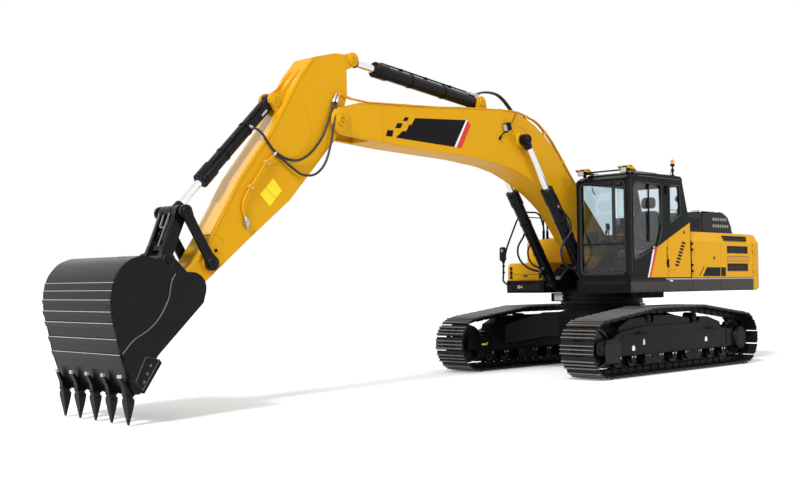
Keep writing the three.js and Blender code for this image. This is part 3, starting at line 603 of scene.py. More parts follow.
def leaning(c, s):
    return (c, 0, s), (0, 1, 0), (-s, 0, c)


def bentPath(points, radius, steps=6):
    corners = [at(*p) for p in points]
    path = [corners[0]]
    for before, here, after in zip(corners, corners[1:], corners[2:]):
        reach = min(radius / 1000, (before - here).length * 0.48, (after - here).length * 0.48)
        start = here + (before - here).normalized() * reach
        end = here + (after - here).normalized() * reach
        for i in range(steps + 1):
            t = i / steps
            path.append(start * (1 - t) ** 2 + here * 2 * t * (1 - t) + end * t ** 2)
    return path + [corners[-1]]


def flowingPath(points, steps=6):
    knots = [at(*p) for p in points]
    ends = [knots[0] * 2 - knots[1]] + knots + [knots[-1] * 2 - knots[-2]]
    path = []
    for a, b, c, d in zip(ends, ends[1:], ends[2:], ends[3:]):
        for i in range(steps):
            t = i / steps
            path.append(0.5 * (2 * b + (c - a) * t + (2 * a - 5 * b + 4 * c - d) * t * t
                               + (3 * b - a - 3 * c + d) * t ** 3))
    return path + [knots[-1]]


def arc(middle, radius, start, end, steps):
    return [(middle[0] + radius * math.cos(math.radians(start + (end - start) * i / steps)),
             middle[1] + radius * math.sin(math.radians(start + (end - start) * i / steps)))
            for i in range(steps + 1)]


def rounded(low, high, radius, steps=4):
    (x0, z0), (x1, z1) = (low[0] + radius, low[1] + radius), (high[0] - radius, high[1] - radius)
    corners = ((x1, z0), (x1, z1), (x0, z1), (x0, z0))
    return [p for i, middle in enumerate(corners)
            for p in arc(middle, radius, 90 * i - 90, 90 * i, steps)]


# geometry node trees for what repeats
def placeCopies(tree, start, end, sources):
    copies = addNode(tree, "GeometryNodeInstanceOnPoints", None, sources)
    real = addNode(tree, "GeometryNodeRealizeInstances", None, {0: copies.outputs[0]})
    finished = {"Geometry": real.outputs[0], "Material": start.outputs["Finish"]}
    coat = addNode(tree, "GeometryNodeSetMaterial", None, finished)
    tree.links.new(coat.outputs[0], end.inputs[0])


def buildChainTree():
    tree, start, end = newGroup(
        "shoesAlongLoop", "GeometryNodeTree",
        [("Loop", "NodeSocketGeometry", None), ("Shoe", "NodeSocketObject", None),
         ("Shoe Count", "NodeSocketInt", 50),
         ("Finish", "NodeSocketMaterial", None)],
        [("Geometry", "NodeSocketGeometry")],
    )
    given = start.outputs
    line = addNode(tree, "GeometryNodeMeshToCurve", None, {"Mesh": given["Loop"]})
    spaced = addNode(tree, "GeometryNodeResampleCurve", None,
                     {"Curve": line.outputs[0], "Count": given["Shoe Count"]})
    along = addNode(tree, "GeometryNodeInputTangent").outputs[0]
    outward = addNode(tree, "ShaderNodeVectorMath", "CROSS_PRODUCT", {1: along}, at0=(0, 1, 0))
    facing = addNode(tree, "FunctionNodeAxesToRotation", None, {0: outward.outputs[0], 1: along})
    facing.primary_axis, facing.secondary_axis = "Z", "X"
    shape = addNode(tree, "GeometryNodeObjectInfo", None, {"Object": given["Shoe"]})
    placeCopies(tree, start, end, {"Points": spaced.outputs[0], "Instance": shape.outputs["Geometry"],
                                   "Rotation": facing.outputs[0]})
    return tree


def buildBoltTree():
    tree, start, end = newGroup(
        "boltHeads", "GeometryNodeTree",
        [("Places", "NodeSocketGeometry", None), ("Head Radius", floatSocket, 0.012),
         ("Head Height", floatSocket, 0.01),
         ("Sides", "NodeSocketInt", 6), ("Finish", "NodeSocketMaterial", None)],
        [("Geometry", "NodeSocketGeometry")],
    )
    given = start.outputs
    radius, height = given["Head Radius"], given["Head Height"]
    head = addNode(tree, "GeometryNodeMeshCylinder", None,
                   {"Vertices": given["Sides"], "Radius": radius, "Depth": height})
    wide = addNode(tree, "ShaderNodeMath", "MULTIPLY", {0: radius}, at1=1.35)
    thin = addNode(tree, "ShaderNodeMath", "MULTIPLY", {0: height}, at1=0.35)
    washer = addNode(tree, "GeometryNodeMeshCylinder", None,
                     {"Radius": wide.outputs[0], "Depth": thin.outputs[0]},
                     Vertices=12)
    whole = tree.nodes.new("GeometryNodeJoinGeometry")
    for part in (head, washer):
        tree.links.new(part.outputs[0], whole.inputs[0])
    read = {}
    for name, kind in (("facing", "FLOAT_VECTOR"), ("size", "FLOAT")):
        read[name] = addNode(tree, "GeometryNodeInputNamedAttribute", Name=name)
        read[name].data_type = kind
    turn = addNode(tree, "FunctionNodeAlignRotationToVector", None, {"Vector": read["facing"].outputs[0]})
    turn.axis = "Z"
    placeCopies(tree, start, end, {"Points": given["Places"], "Instance": whole.outputs[0],
                                   "Rotation": turn.outputs[0], "Scale": read["size"].outputs[0]})
    return tree


def buildSlatTree():
    tree, start, end = newGroup(
        "slatRow", "GeometryNodeTree",
        [("Base", "NodeSocketGeometry", None), ("First", "NodeSocketVector", (0, 0, 0)),
         ("Step", "NodeSocketVector", (0, 0, 0.1)), ("Count", "NodeSocketInt", 5),
         ("Size", "NodeSocketVector", (1, 1, 1)),
         ("Turn", "NodeSocketVector", (0, 0, 0)), ("Finish", "NodeSocketMaterial", None)],
        [("Geometry", "NodeSocketGeometry")],
    )
    given = start.outputs
    row = addNode(tree, "GeometryNodeMeshLine", None,
                  {"Count": given["Count"], "Start Location": given["First"], "Offset": given["Step"]})
    slat = addNode(tree, "GeometryNodeMeshCube", None, {"Size": given["Size"]})
    turn = addNode(tree, "FunctionNodeEulerToRotation", None, {0: given["Turn"]})
    placeCopies(tree, start, end, {"Points": row.outputs[0], "Instance": slat.outputs[0],
                                   "Rotation": turn.outputs[0]})
    return tree


chainTree = buildChainTree()
boltTree = buildBoltTree()
slatTree = buildSlatTree()


def grow(base, tree, **values):
    modifier = base.modifiers.new("grow", "NODES")
    modifier.node_group = tree
    for label, value in values.items():
        words = "".join(" " + c if c.isupper() else c for c in label).strip()
        modifier[tree.interface.items_tree[words].identifier] = value
    whole = base.evaluated_get(bpy.context.evaluated_depsgraph_get())
    mesh = bpy.data.meshes.new_from_object(whole)
    base.modifiers.remove(modifier)
    return mesh


def joinMeshes(name, body, meshes):
    whole = bmesh.new()
    materials = []
    for mesh in meshes:
        start = len(whole.faces)
        whole.from_mesh(mesh)
        whole.faces.ensure_lookup_table()
        for face in whole.faces[start:]:
            material = mesh.materials[face.material_index]
            if material not in materials:
                materials.append(material)
            face.material_index = materials.index(material)
            face.smooth = True
    joined = bpy.data.meshes.new(name)
    whole.to_mesh(joined)
    whole.free()
    joined.set_sharp_from_angle(angle=joinedSharpAngle)
    for material in materials:
        joined.materials.append(material)
    made = bpy.data.objects.new(name, joined)
    scene.collection.objects.link(made)
    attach(made, body)
    return made


def bareObject(name, vertices, edges=()):
    mesh = bpy.data.meshes.new(name)
    mesh.from_pydata(vertices, edges, [])
    made = bpy.data.objects.new(name, mesh)
    scene.collection.objects.link(made)
    return made


boltPlaces = {}


def bolt(body, place, facing, size=1.0, look="black"):
    boltPlaces.setdefault((body, look), []).append((at(*place), Vector(facing).normalized(), size))


def boltRing(body, middle, axis, radius, count, size=1.0, look="black", first=0.0):
    along = Vector(axis).normalized()
    side = along.orthogonal().normalized()
    other = along.cross(side)
    for i in range(count):
        turn = first + 2 * math.pi * i / count
        reach = (side * math.cos(turn) + other * math.sin(turn)) * radius
        bolt(body, Vector(middle) + reach, axis, size, look)


def slats(body, first, step, count, size, turn=(0, 0, 0), look="black"):
    base = bareObject("slatBase", [(0, 0, 0)])
    mesh = grow(base, slatTree, First=at(*first), Step=Vector(step) / 1000, Count=count,
                Size=Vector(size) / 1000, Turn=Vector(turn), Finish=finish[look])
    bpy.data.objects.remove(base)
    return mesh


# tracks: one shoe, its link and its bolts, repeated along each loop
trackShoe = {
    "count": 50, "gauge": 2590, "width": 600, "wheelX": 2070, "wheelZ": 460, "wheelRadius": 398,
    "carrierX": 700, "carrierZ": 868, "carrierRadius": 148, "plateLow": 16, "plateHigh": 29, "tip": 57,
    "grousers": (-68, -8, 52), "halfPitch": 92, "tipWear": 0.85, "linkY": (58, 92), "boltY": (48, 96),
    "boltX": (-34, 30),
}


def loopPath():
    s = trackShoe
    rims = []
    for x, z, r in ((s["wheelX"], s["wheelZ"], s["wheelRadius"]),
                    (s["carrierX"], s["carrierZ"], s["carrierRadius"])):
        for side in (-1, 1):
            rims += [(round(px, 4), round(pz, 4)) for px, pz in arc((side * x, z), r, 0, 355, 71)]
    rims = sorted(set(rims))

    def chain(points):
        kept = []
        for p in points:
            while len(kept) > 1 and ((kept[-1][0] - kept[-2][0]) * (p[1] - kept[-2][1])
                                     - (kept[-1][1] - kept[-2][1]) * (p[0] - kept[-2][0])) <= 0:
                kept.pop()
            kept.append(p)
        return kept[:-1]

    return chain(rims) + chain(rims[::-1])


def prism(mesh, rings, tips=None, worn=None):
    made = []
    for ring in rings:
        made.append([mesh.verts.new(Vector(point) / 1000) for point in ring])
        for vertex, point in zip(made[-1], ring):
            if tips:
                vertex[tips] = worn.get((point[0], point[2]), 0.0)
    count = len(rings[0])
    for i in range(count):
        j = (i + 1) % count
        mesh.faces.new((made[0][i], made[0][j], made[1][j], made[1][i]))
    mesh.faces.new(list(reversed(made[0])))
    mesh.faces.new(made[1])


def shoeShapes():
    s = trackShoe
    half, low, high, tip = s["halfPitch"], s["plateLow"], s["plateHigh"], s["tip"]
    shoe, link, heads = bmesh.new(), bmesh.new(), bmesh.new()
    tips = shoe.verts.layers.float.new("wearTip")
    outline = [(-half - 4, low), (half - 18, low), (half - 8, 4), (half + 22, 2), (half + 22, 9),
               (half - 2, 13),
               (half - 12, high)]
    worn = {}
    for x in reversed(s["grousers"]):
        crest = [(x + 10, high), (x + 6, tip - 2), (x + 3, tip), (x - 3, tip), (x - 6, tip - 2),
                 (x - 10, high)]
        outline += crest
        worn.update({point: s["tipWear"] for point in crest[1:-1]})
    outline += [(-half - 4, high)]
    reach = s["width"] / 2
    prism(shoe, [[(x, y, z) for x, z in outline] for y in (-reach, reach)], tips, worn)
    for side in (-1, 1):
        for x0, x1, z0, z1 in ((-96, 96, -62, 6), (-50, 50, 6, 16)):
            ring = ((x0, z0 + 22), (x0 + 22, z0), (x1 - 22, z0), (x1, z0 + 22), (x1, z1), (x0, z1))
            prism(link, [[(x, y, z) for x, z in ring] for y in sorted(side * y for y in s["linkY"])])
    pin = [(math.cos(math.pi * i / 5) * 24 + 95, math.sin(math.pi * i / 5) * 24 - 28) for i in range(10)]
    prism(link, [[(x, y, z) for x, z in pin] for y in (-104, 104)])
    for side in (-1, 1):
        for y in s["boltY"]:
            for x in s["boltX"]:
                ring = [(x + 13 * math.cos(math.pi * k / 3), side * y + 13 * math.sin(math.pi * k / 3))
                        for k in range(6)]
                prism(heads, [[(px, py, z) for px, py in ring] for z in (28, 42)])
    objects = {}
    for name, shape in (("shoe", shoe), ("link", link), ("heads", heads)):
        bmesh.ops.recalc_face_normals(shape, faces=shape.faces)
        mesh = bpy.data.meshes.new(name)
        shape.to_mesh(mesh)
        shape.free()
        objects[name] = bpy.data.objects.new(name, mesh)
        scene.collection.objects.link(objects[name])
    return objects


def buildTracks():
    shapes = shoeShapes()
    path = loopPath()
    for name, side in (("left", 1), ("right", -1)):
        loop = bareObject("loop", [at(x, side * trackShoe["gauge"] / 2, z) for x, z in path],
                          [(i, (i + 1) % len(path)) for i in range(len(path))])
        meshes = [grow(loop, chainTree, Shoe=shapes[part], ShoeCount=trackShoe["count"], Finish=finish[look])
                  for part, look in (("shoe", "steel"), ("link", "frameBlack"), ("heads", "black"))]
        bpy.data.objects.remove(loop)
        made = joinMeshes(f"track_shoes_{name}", "undercarriage", meshes)
        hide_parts(f"track_{name}")
    for shape in shapes.values():
        bpy.data.objects.remove(shape)


buildTracks()
print("tracks built")

# cab: glass, seals, lamps, beacon, yellow corner and stripe
cab = {
    "front": 1330, "side": 1480, "stickerThick": 1.5,
    "doorWindow": [(1215, 1800), (510, 2040), (400, 2290), (400, 3030), (1150, 3030), (1215, 2960)],
    "quarterWindow": [(154, 2400), (-175, 2560), (-150, 3035), (154, 3035)],
    "stripeFront": [(833, 1529), (742, 1770), (657, 2020)],
    "stripeRear": [(747, 1529), (632, 1770), (528, 2036)],
    "slotRow": ((-250, 2095), (-34, 1729), 8),
}


def grownOutline(outline, reach):
    grown = []
    count = len(outline)
    for i in range(count):
        before, here, after = (Vector(outline[k % count]) for k in (i - 1, i, i + 1))
        a, b = (here - before).normalized(), (after - here).normalized()
        normal = (Vector((-a.y, a.x)) + Vector((-b.y, b.x))).normalized()
        spread = max(0.4, normal.dot(Vector((-a.y, a.x))))
        grown.append(tuple(here + normal * reach / spread))
    return grown


def softLoop(outline, radius, place):
    count = len(outline)
    path = []
    for i in range(count):
        before, here, after = (Vector(outline[k % count]) for k in (i - 1, i, i + 1))
        reach = min(radius, (before - here).length * 0.45, (after - here).length * 0.45)
        start = here + (before - here).normalized() * reach
        end = here + (after - here).normalized() * reach
        for k in range(5):
            t = k / 4
            u = start * (1 - t) ** 2 + here * 2 * t * (1 - t) + end * t ** 2
            path.append(place(u.x, u.y))
    return path


def buildCabFront():
    x = cab["front"]
    piece = Piece("windshield", "upper")
    for z0, z1 in ((1575, 2056), (2068, 3062)):
        piece.box((x - 26, 538, z0), (x - 20, 1417, z1), "glass", 0)
    piece.finish()
    piece = Piece("windshield_seal", "upper")
    frameLine = rect(550, 1405, 1588, 3050)
    piece.tube(softLoop(frameLine, 95, lambda u, v: at(x + 1, u, v)), 15, "rubber", 8, closed=True)
    piece.tube(softLoop(rect(565, 1390, 1603, 2050), 60, lambda u, v: at(x - 6, u, v)),
               9, "rubber", 8, closed=True)
    piece.tube(softLoop(rect(565, 1390, 2076, 3035), 60, lambda u, v: at(x - 6, u, v)),
               9, "rubber", 8, closed=True)
    piece.box((x - 18, 552, 2048), (x + 2, 1403, 2078), "black", 4)
    piece.finish(slot="black_paint")
    piece = Piece("cab_pillars", "upper")
    for y in (504, 1458):
        piece.tube([at(x + 2, y, 1565), at(x + 2, y, 3080)], 20, "gloss", 10)
    piece.tube([at(x + 2, 504, 3086), at(x + 2, 1458, 3086)], 17, "gloss", 10)
    piece.tube([at(x + 2, 504, 1562), at(x + 2, 1458, 1562)], 15, "gloss", 10)
    piece.tube(bentPath([(x + 4, 1446, 1760), (x + 44, 1446, 1775), (x + 44, 1446, 2900),
                         (x + 4, 1446, 2915)], 30), 12,
               "gloss", 10)
    for z in (1900, 2420, 2780):
        piece.box((x + 4, 1436, z - 12), (x + 36, 1456, z + 12), "black", 3)
    piece.tube([at(1270, 1481, 1600), at(1270, 1481, 3070)], 8, "rubber", 8)
    piece.finish()
    piece = Piece("wiper", "upper")
    piece.box((x + 2, 1335, 2965), (x + 34, 1395, 3020), "plastic", 8, 2)
    piece.tube(bentPath([(x + 24, 1360, 2990), (x + 30, 1300, 2980), (x + 26, 700, 3020)], 30), 6, "plastic",
               8)
    piece.box((x + 12, 640, 3008), (x + 20, 1180, 3022), "rubber", 2)
    piece.finish()
    piece = Piece("work_lights_cab", "upper")
    for y in (600, 1415):
        low, high = y - 62, y + 62
        piece.hull([uprightRing(x + 30, low, high, 3172, 3262),
                    uprightRing(x - 40, low + 8, high - 8, 3180, 3256),
                    uprightRing(x - 110, low + 30, high - 30, 3196, 3232)],
                   "black", 6, 2)
        piece.box((x + 28, low + 14, 3180), (x + 38, high - 14, 3250), "lens", 3)
        piece.hull([uprightRing(x + 62, low - 26, high + 26, 3268, 3276),
                    uprightRing(x - 60, low - 30, high + 30, 3280, 3290),
                    uprightRing(x - 260, low + 10, high - 10, 3206, 3216)],
                   "yellow", 3)
        for edge in (low - 26, high + 16):
            piece.hull([uprightRing(x + 60, edge, edge + 10, 3240, 3272),
                        uprightRing(x - 120, edge, edge + 10, 3226, 3262)],
                       "yellow", 2)
        piece.box((x - 90, y - 20, 3150), (x - 50, y + 20, 3200), "black", 4)
    piece.tube([at(x - 30, 650, 3222), at(x - 30, 1360, 3222)], 13, "black", 8)
    piece.tube(flowingPath([(x - 100, 640, 3200), (x - 150, 690, 3212), (x - 160, 800, 3202)]), 6, "rubber",
               8)
    piece.finish()


def buildCabRoof():
    piece = Piece("roof_panel", "upper")
    outline = rounded((-215, 520), (1180, 1460), 120, 5)
    rings = []
    for reach, z in ((0, 3180), (0, 3198), (-25, 3212), (-60, 3220)):
        grown = grownOutline(outline, -reach)
        rings.append([at(x, y, z - max(0, x - 700) * 0.05) for x, y in grown])
    piece.hull(rings, "gloss", 0)
    hatch = rounded((150, 690), (760, 1290), 70, 4)
    piece.hull([[at(x, y, 3212) for x, y in hatch], [at(x, y, 3236) for x, y in hatch],
                [at(x * 0.94 + 27, y * 0.94 + 59, 3244) for x, y in hatch]], "plastic", 0)
    piece.tube([at(-190, 1474, 3140), at(1060, 1474, 3140)], 7, "trim", 8)
    piece.finish()
    piece = Piece("beacon", "upper")
    x, y = -12, 1448
    piece.lathe([(3150, 26), (3215, 26), (3222, 16), (3262, 16), (3266, 24), (3300, 24), (3304, 13),
                 (3352, 13),
                 (3356, 30), (3372, 38), (3392, 38)], (x, y, 0), (0, 0, 1), "plastic", 24)
    piece.lathe([(3392, 33), (3440, 33), (3452, 30), (3466, 22), (3472, 0)], (x, y, 0), (0, 0, 1), "amber",
                24)
    piece.box((x - 22, y - 18, 3296), (x + 34, y + 18, 3312), "black", 3)
    piece.tube(flowingPath([(x, y - 20, 3300), (x - 40, y - 60, 3260), (x - 60, y - 90, 3214)]), 5, "rubber",
               8)
    piece.finish()


def buildCabSide():
    side = cab["side"]
    thick = cab["stickerThick"]
    piece = Piece("door_glass", "cab_door")
    piece.plate(grownOutline(cab["doorWindow"], -9), 1450, 1456, "glass", 0)
    piece.finish()
    piece = Piece("quarter_glass", "upper")
    piece.plate(grownOutline(cab["quarterWindow"], -9), 1450, 1456, "glass", 0)
    piece.box((290, 506, 1890), (1190, 512, 3040), "glass", 0)
    piece.box((-150, 506, 2290), (210, 512, 3040), "glass", 0)
    piece.finish()
    piece = Piece("rear_glass", "upper")
    low, high = (-436, 2450), (-258, 3030)
    piece.hull([[at(low[0], y, low[1]), at(low[0] + 6, y, low[1]), at(high[0] + 6, y, high[1]),
                 at(high[0], y, high[1])]
                for y in (590, 1390)], "glass", 0)
    piece.finish()
    piece = Piece("door_trim", "cab_door")
    piece.tube(softLoop(cab["doorWindow"], 60, lambda u, v: at(u, side + 1, v)), 10, "rubber", 8, closed=True)
    front, rear = smoothLine(cab["stripeFront"]), smoothLine(cab["stripeRear"])
    middle = [((a[0] * 0.64 + b[0] * 0.36), (a[1] * 0.64 + b[1] * 0.36)) for a, b in zip(front, rear)]
    piece.plate(front + middle[::-1], side, side + thick, "white", 0)
    piece.plate(middle + rear[::-1], side, side + thick, "red", 0)
    piece.plate(rear + [(245, 2152), (245, 1529)], side, side + thick, "yellow", 0)
    piece.tube([at(x, side + 2, z) for x, z in ((1262, 1772), (505, 2040), (245, 2155))], 6, "gloss", 8)
    piece.box((1120, side, 1668), (1210, side + 3, 1716), "plastic", 1)
    piece.box((1132, side + 2, 1684), (1198, side + 12, 1700), "gloss", 3, 2)
    piece.box((752, 1462, 2100), (776, side + 2, 3034), "black", 3)
    piece.finish(slot="black_paint")
    piece = Piece("cab_corner_panel", "upper")
    outline = [(235, 1529), (235, 2156), (-462, 2446), (-466, 1529)]
    piece.plate(outline, side, side + thick, "yellow", 0)
    piece.tube([at(235, side + 2, 2160), at(-462, side + 2, 2450)], 6, "gloss", 8)
    piece.tube(softLoop(cab["quarterWindow"], 60, lambda u, v: at(u, side + 1, v)), 10, "rubber", 8,
               closed=True)
    piece.lathe([(0, 26), (3.5, 26), (3.5, 0)], (-275, side, 2272), (0, 1, 0), "label", 20)
    (x0, z0), (x1, z1), count = cab["slotRow"]
    for i in range(count):
        t = i / (count - 1)
        piece.block((x0 + (x1 - x0) * t, side + 2, z0 + (z1 - z0) * t), (112, 3, 34), leaning(1, 0.12),
                    "label", 1)
    for z in (1985, 1880, 1765):
        piece.box((252, side, z - 38), (272, side + 2.5, z + 38), "label", 1)
    piece.tube([at(-20, side + 1, 1690), at(60, side + 1, 1640), at(225, side + 1, 1640)], 4, "castYellow", 6)
    piece.finish(slot="yellow_paint")


def smoothLine(points, steps=5):
    (a, b, c) = (Vector(p) for p in points)
    control = b * 2 - (a + c) / 2
    return [tuple(a * (1 - t) ** 2 + control * 2 * t * (1 - t) + c * t ** 2)
            for t in (i / steps for i in range(steps + 1))]


def buildCabRight():
    piece = Piece("cab_right_frame", "upper")
    rear = [(-419, 1500), (-419, 2378), (-195, 3100), (-135, 3100), (-350, 2390), (-350, 1500)]
    for outline in (rear, rect(-400, 1279, 1500, 1640),
                    [(-220, 3040), (1279, 3040), (1279, 3100), (-205, 3100)],
                    rect(1226, 1279, 1620, 3060), rect(330, 378, 1620, 3060)):
        piece.plate(outline, 502, 548, "black", 6, 2, corner=50)
    piece.finish("cab_right", slot="black_paint")
    piece = Piece("cab_right_glass", "upper")
    piece.plate([(-360, 1630), (-360, 2385), (-170, 3050), (340, 3050), (340, 1630)], 520, 525, "glass", 0)
    piece.plate(rect(370, 1236, 1630, 3050), 520, 525, "glass", 0)
    piece.finish()


buildCabRight()
buildCabFront()
buildCabRoof()
buildCabSide()
print("cab outside built")

# cab inside: seat, consoles, levers, pedals, screen
cabin = {
    "seatY": 960,
    "cushion": [(40, 1845, 500, 470, 40), (30, 1880, 540, 500, 60), (30, 1950, 545, 505, 70),
                (60, 1990, 480, 440, 80)],
    "seat_back": [(2020, 60, 440, 90), (2100, 50, 500, 120), (2340, 20, 500, 130), (2580, -10, 440, 120),
                  (2650, -20, 360, 80)],
    "seat_headrest": [(2680, -24, 210, 60), (2712, -26, 270, 100), (2830, -34, 260, 100),
                      (2880, -40, 200, 60)],
}


def buildPad(name, rings):
    pad = Piece(name, "upper").hull(rings, "cloth", 0).finish(slot="dark_plastic")
    soften = pad.modifiers.new("soften", "SUBSURF")
    soften.levels = soften.render_levels = 1
    return pad


def buildCabInside():
    y = cabin["seatY"]
    piece = Piece("seat_frame", "upper")
    piece.box((0, y - 170, 1552), (480, y + 170, 1600), "plastic", 6)
    piece.hull([levelRing(60, 420, y - 120, y + 120, 1600),
                levelRing(100, 380, y - 100, y + 100, 1720),
                levelRing(0, 520, y - 190, y + 190, 1790)], "rubber", 0)
    piece.box((-20, y - 230, 1790), (560, y + 230, 1840), "plastic", 12, 2)
    for side in (-1, 1):
        piece.hull([uprightRing(60, y + side * 250 - 30, y + side * 250 + 30, 2095, 2140),
                    uprightRing(460, y + side * 250 - 34, y + side * 250 + 34, 2110, 2150)],
                   "plastic", 10, 2)
    piece.tube(flowingPath([(-10, y - 262, 1880), (-30, y - 240, 2200), (-60, y - 200, 2500)]), 14, "amber",
               6)
    piece.finish("seat", slot="dark_plastic")
    rings = []
    for x, z, length, width, corner in cabin["cushion"]:
        outline = rounded((x, y - width / 2), (x + length, y + width / 2), corner, 5)
        rings.append([at(px, py, z + 14 * math.sin((py - y) / width * math.pi) ** 2) for px, py in outline])
    cushion = buildPad("seat_cushion", rings)
    for name in ("seat_back", "seat_headrest"):
        rings = []
        for z, x, width, depth in cabin[name]:
            outline = rounded((x - depth / 2, y - width / 2), (x + depth / 2, y + width / 2), depth * 0.42, 5)
            rings.append([at(px + 30 * (abs(py - y) / width) ** 2, py, z) for px, py in outline])
        pad = buildPad(name, rings)
    piece = Piece("cab_controls", "upper")
    for side in (-1, 1):
        base = y + side * 335
        piece.lathe([(2150, 42), (2170, 36), (2195, 24), (2205, 12)], (650, base, 0), (0, 0, 1), "rubber", 20)
        piece.tube(flowingPath([(650, base, 2195), (655, base, 2280), (668, base, 2330)]), 9, "black", 8)
        piece.hull([[at(668 + dx * 26, base + dy * 20, 2320) for dx,
                     dy in ((-1, -1), (1, -1), (1, 1), (-1, 1))],
                    [at(676 + dx * 30, base + dy * 24, 2390) for dx,
                     dy in ((-1, -1), (1, -1), (1, 1), (-1, 1))],
                    [at(690 + dx * 22, base + dy * 20, 2430) for dx,
                     dy in ((-1, -1), (1, -1), (1, 1), (-1, 1))]],
                   "plastic", 8, 2)
        for i in range(4):
            piece.box((400 + i * 50, base - 12, 2150), (425 + i * 50, base + 12, 2158), "trim", 2)
        pedal = y + side * 90
        piece.tube(bentPath([(1090, pedal, 1560), (1090, pedal, 1800), (1050, pedal + side * 20, 2250)], 60),
                   10, "black", 8)
        piece.lathe([(0, 12), (10, 20), (60, 20), (72, 0)], (1050, pedal + side * 20, 2235), (-0.2, 0, 1),
                    "plastic", 16)
        piece.block((1120, pedal, 1620), (180, 110, 14), leaning(0.85, 0.5), "grip", 4)
        piece.box((1070, pedal - 30, 1552), (1130, pedal + 30, 1600), "black", 6)
    piece.block((1130, 640, 2150), (30, 190, 240), ((0.94, 0.3, 0), (-0.3, 0.94, 0), (0, 0, 1)), "plastic",
                12, 2)
    piece.block((1113, 636, 2150), (6, 160, 200), ((0.94, 0.3, 0), (-0.3, 0.94, 0), (0, 0, 1)), "lens", 2)
    piece.tube(bentPath([(1180, 575, 2150), (1150, 620, 2150), (1140, 636, 2150)], 20), 14, "plastic", 8)
    piece.lathe([(0, 92), (14, 92), (22, 80), (22, 0)], (1160, 1250, 1770), (1, 0, 0), "plastic", 28)
    piece.box((1140, 1150, 1552), (1260, 1370, 1690), "plastic", 14, 2)
    piece.box((560, 600, 1552), (1270, 1400, 1560), "grip", 2)
    piece.box((-380, 600, 1556), (-110, 1380, 2120), "plastic", 20, 2)
    for z in (2450, 2640, 2830):
        piece.lathe([(0, 30), (30, 52), (50, 52), (60, 30), (60, 0)],
                    (-262 - (3030 - z) * 0.24 + 30, 1395, z), (1, 0, 0), "plastic", 20)
    piece.tube(flowingPath([(1290, 760, 2990), (1250, 760, 2900), (1240, 800, 2860)]), 8, "plastic", 8)
    piece.finish(slot="dark_plastic")


buildCabInside()
print("cab inside built")

# engine bay doors, skirts, counterweight, hood
bay = {
    "side": 1480, "vents": [(-2412, -1684, 1945, 2068), (-2416, -1688, 1631, 1762),
                            (-2367, -1588, 2160, 2241)],
    "band": (-2470, -1668, 1800, 1896), "sticker": [(-850, 1543), (-982, 1695), (-1440, 1696), (-1440, 1543)],
    "stickerRear": [(-1462, 1543), (-1462, 1696), (-1630, 1697), (-1620, 1540)],
}


def buildBayDoors():
    side = bay["side"]
    meshes = []
    for x0, x1, z0, z1 in bay["vents"]:
        count = max(3, round((z1 - z0) / 26))
        middle = ((x0 + x1) / 2, side - 14, z0 + (z1 - z0) / (2 * count))
        meshes.append(slats("left_rear_door", middle, (0, 0, (z1 - z0) / count), count, (x1 - x0 + 8, 3, 26),
                            (0.75, 0, 0), "vent"))
    joinMeshes("vent_slats_left", "left_rear_door", meshes)
    piece = Piece("vent_frames_left", "left_rear_door")
    for x0, x1, z0, z1 in bay["vents"]:
        piece.box((x0 - 10, side - 40, z0 - 10), (x1 + 10, side - 36, z1 + 10), "vent", 0)
        for low, high in (((x0 - 4, z0 - 4), (x1 + 4, z0 + 4)), ((x0 - 4, z1 - 4), (x1 + 4, z1 + 4)),
                          ((x0 - 4, z0), (x0 + 4, z1)), ((x1 - 4, z0), (x1 + 4, z1))):
            piece.box((low[0], side - 26, low[1]), (high[0], side + 1.5, high[1]), "vent", 1)
        for i in (1, 2, 3):
            x = x0 + (x1 - x0) * i / 4
            piece.box((x - 5, side - 24, z0), (x + 5, side - 12, z1), "vent", 1)
    x0, x1, z0, z1 = bay["band"]
    piece.tube(softLoop(rect(x0, x1, z0, z1), 22, lambda u, v: at(u, side, v)), 4.5, "yellow", 8,
               closed=True)
    piece.plate(rect(x0 + 6, x1 - 6, z0 + 6, z1 - 6), side, side + 1, "bandYellow", 0)
    piece.tube(softLoop(rect(x0 + 7, x1 - 7, z0 + 7, z1 - 7), 18,
                        lambda u, v: at(u, side + 1, v)), 2.2, "vent", 6, closed=True)
    piece.plate(bay["stickerRear"], side, side + 1.4, "label", 0)
    piece.finish(slot="dark_plastic")
    piece = Piece("door_fittings_front", "left_front_door")
    piece.plate(bay["sticker"], side, side + 1.4, "label", 0)
    for i, x in enumerate((-748, -800, -850)):
        shift = i * 50
        piece.plate([(x + 18 - 4, 1553 + shift), (x - 20, 1598 + shift), (x - 54, 1598 + shift),
                     (x - 14, 1553 + shift)], side,
                    side + 1.4, "label", 0)
    piece.box((-1262, side - 1, 1820), (-1196, side + 2, 1896), "castYellow", 2)
    piece.box((-1252, side + 1, 1830), (-1226, side + 5, 1886), "label", 2)
    piece.lathe([(0, 11), (7, 11), (7, 0)], (-1211, side, 1858), (0, 1, 0), "black", 14)
    piece.finish(slot="dark_plastic")
    piece = Piece("door_fittings_right", "right_door")
    for x0, x1, z0, z1 in ((-2440, -1600, 1660, 1960), (-2440, -1600, 2010, 2200)):
        piece.tube(softLoop(rect(x0, x1, z0, z1), 40, lambda u, v: at(u, -side, v)), 6, "yellow", 8,
                   closed=True)
    piece.box((-1560, -side - 4, 1820), (-1500, -side + 1, 1890), "label", 2)
    piece.finish(slot="yellow_paint")
    meshes = [slats("right_door", (-2020, -side - 1, z0), (0, 0, 36), n, (760, 8, 12), (0, 0, 0), "vent")
              for z0, n in ((1700, 7), (2040, 4))]
    joinMeshes("vent_slats_right", "right_door", meshes)


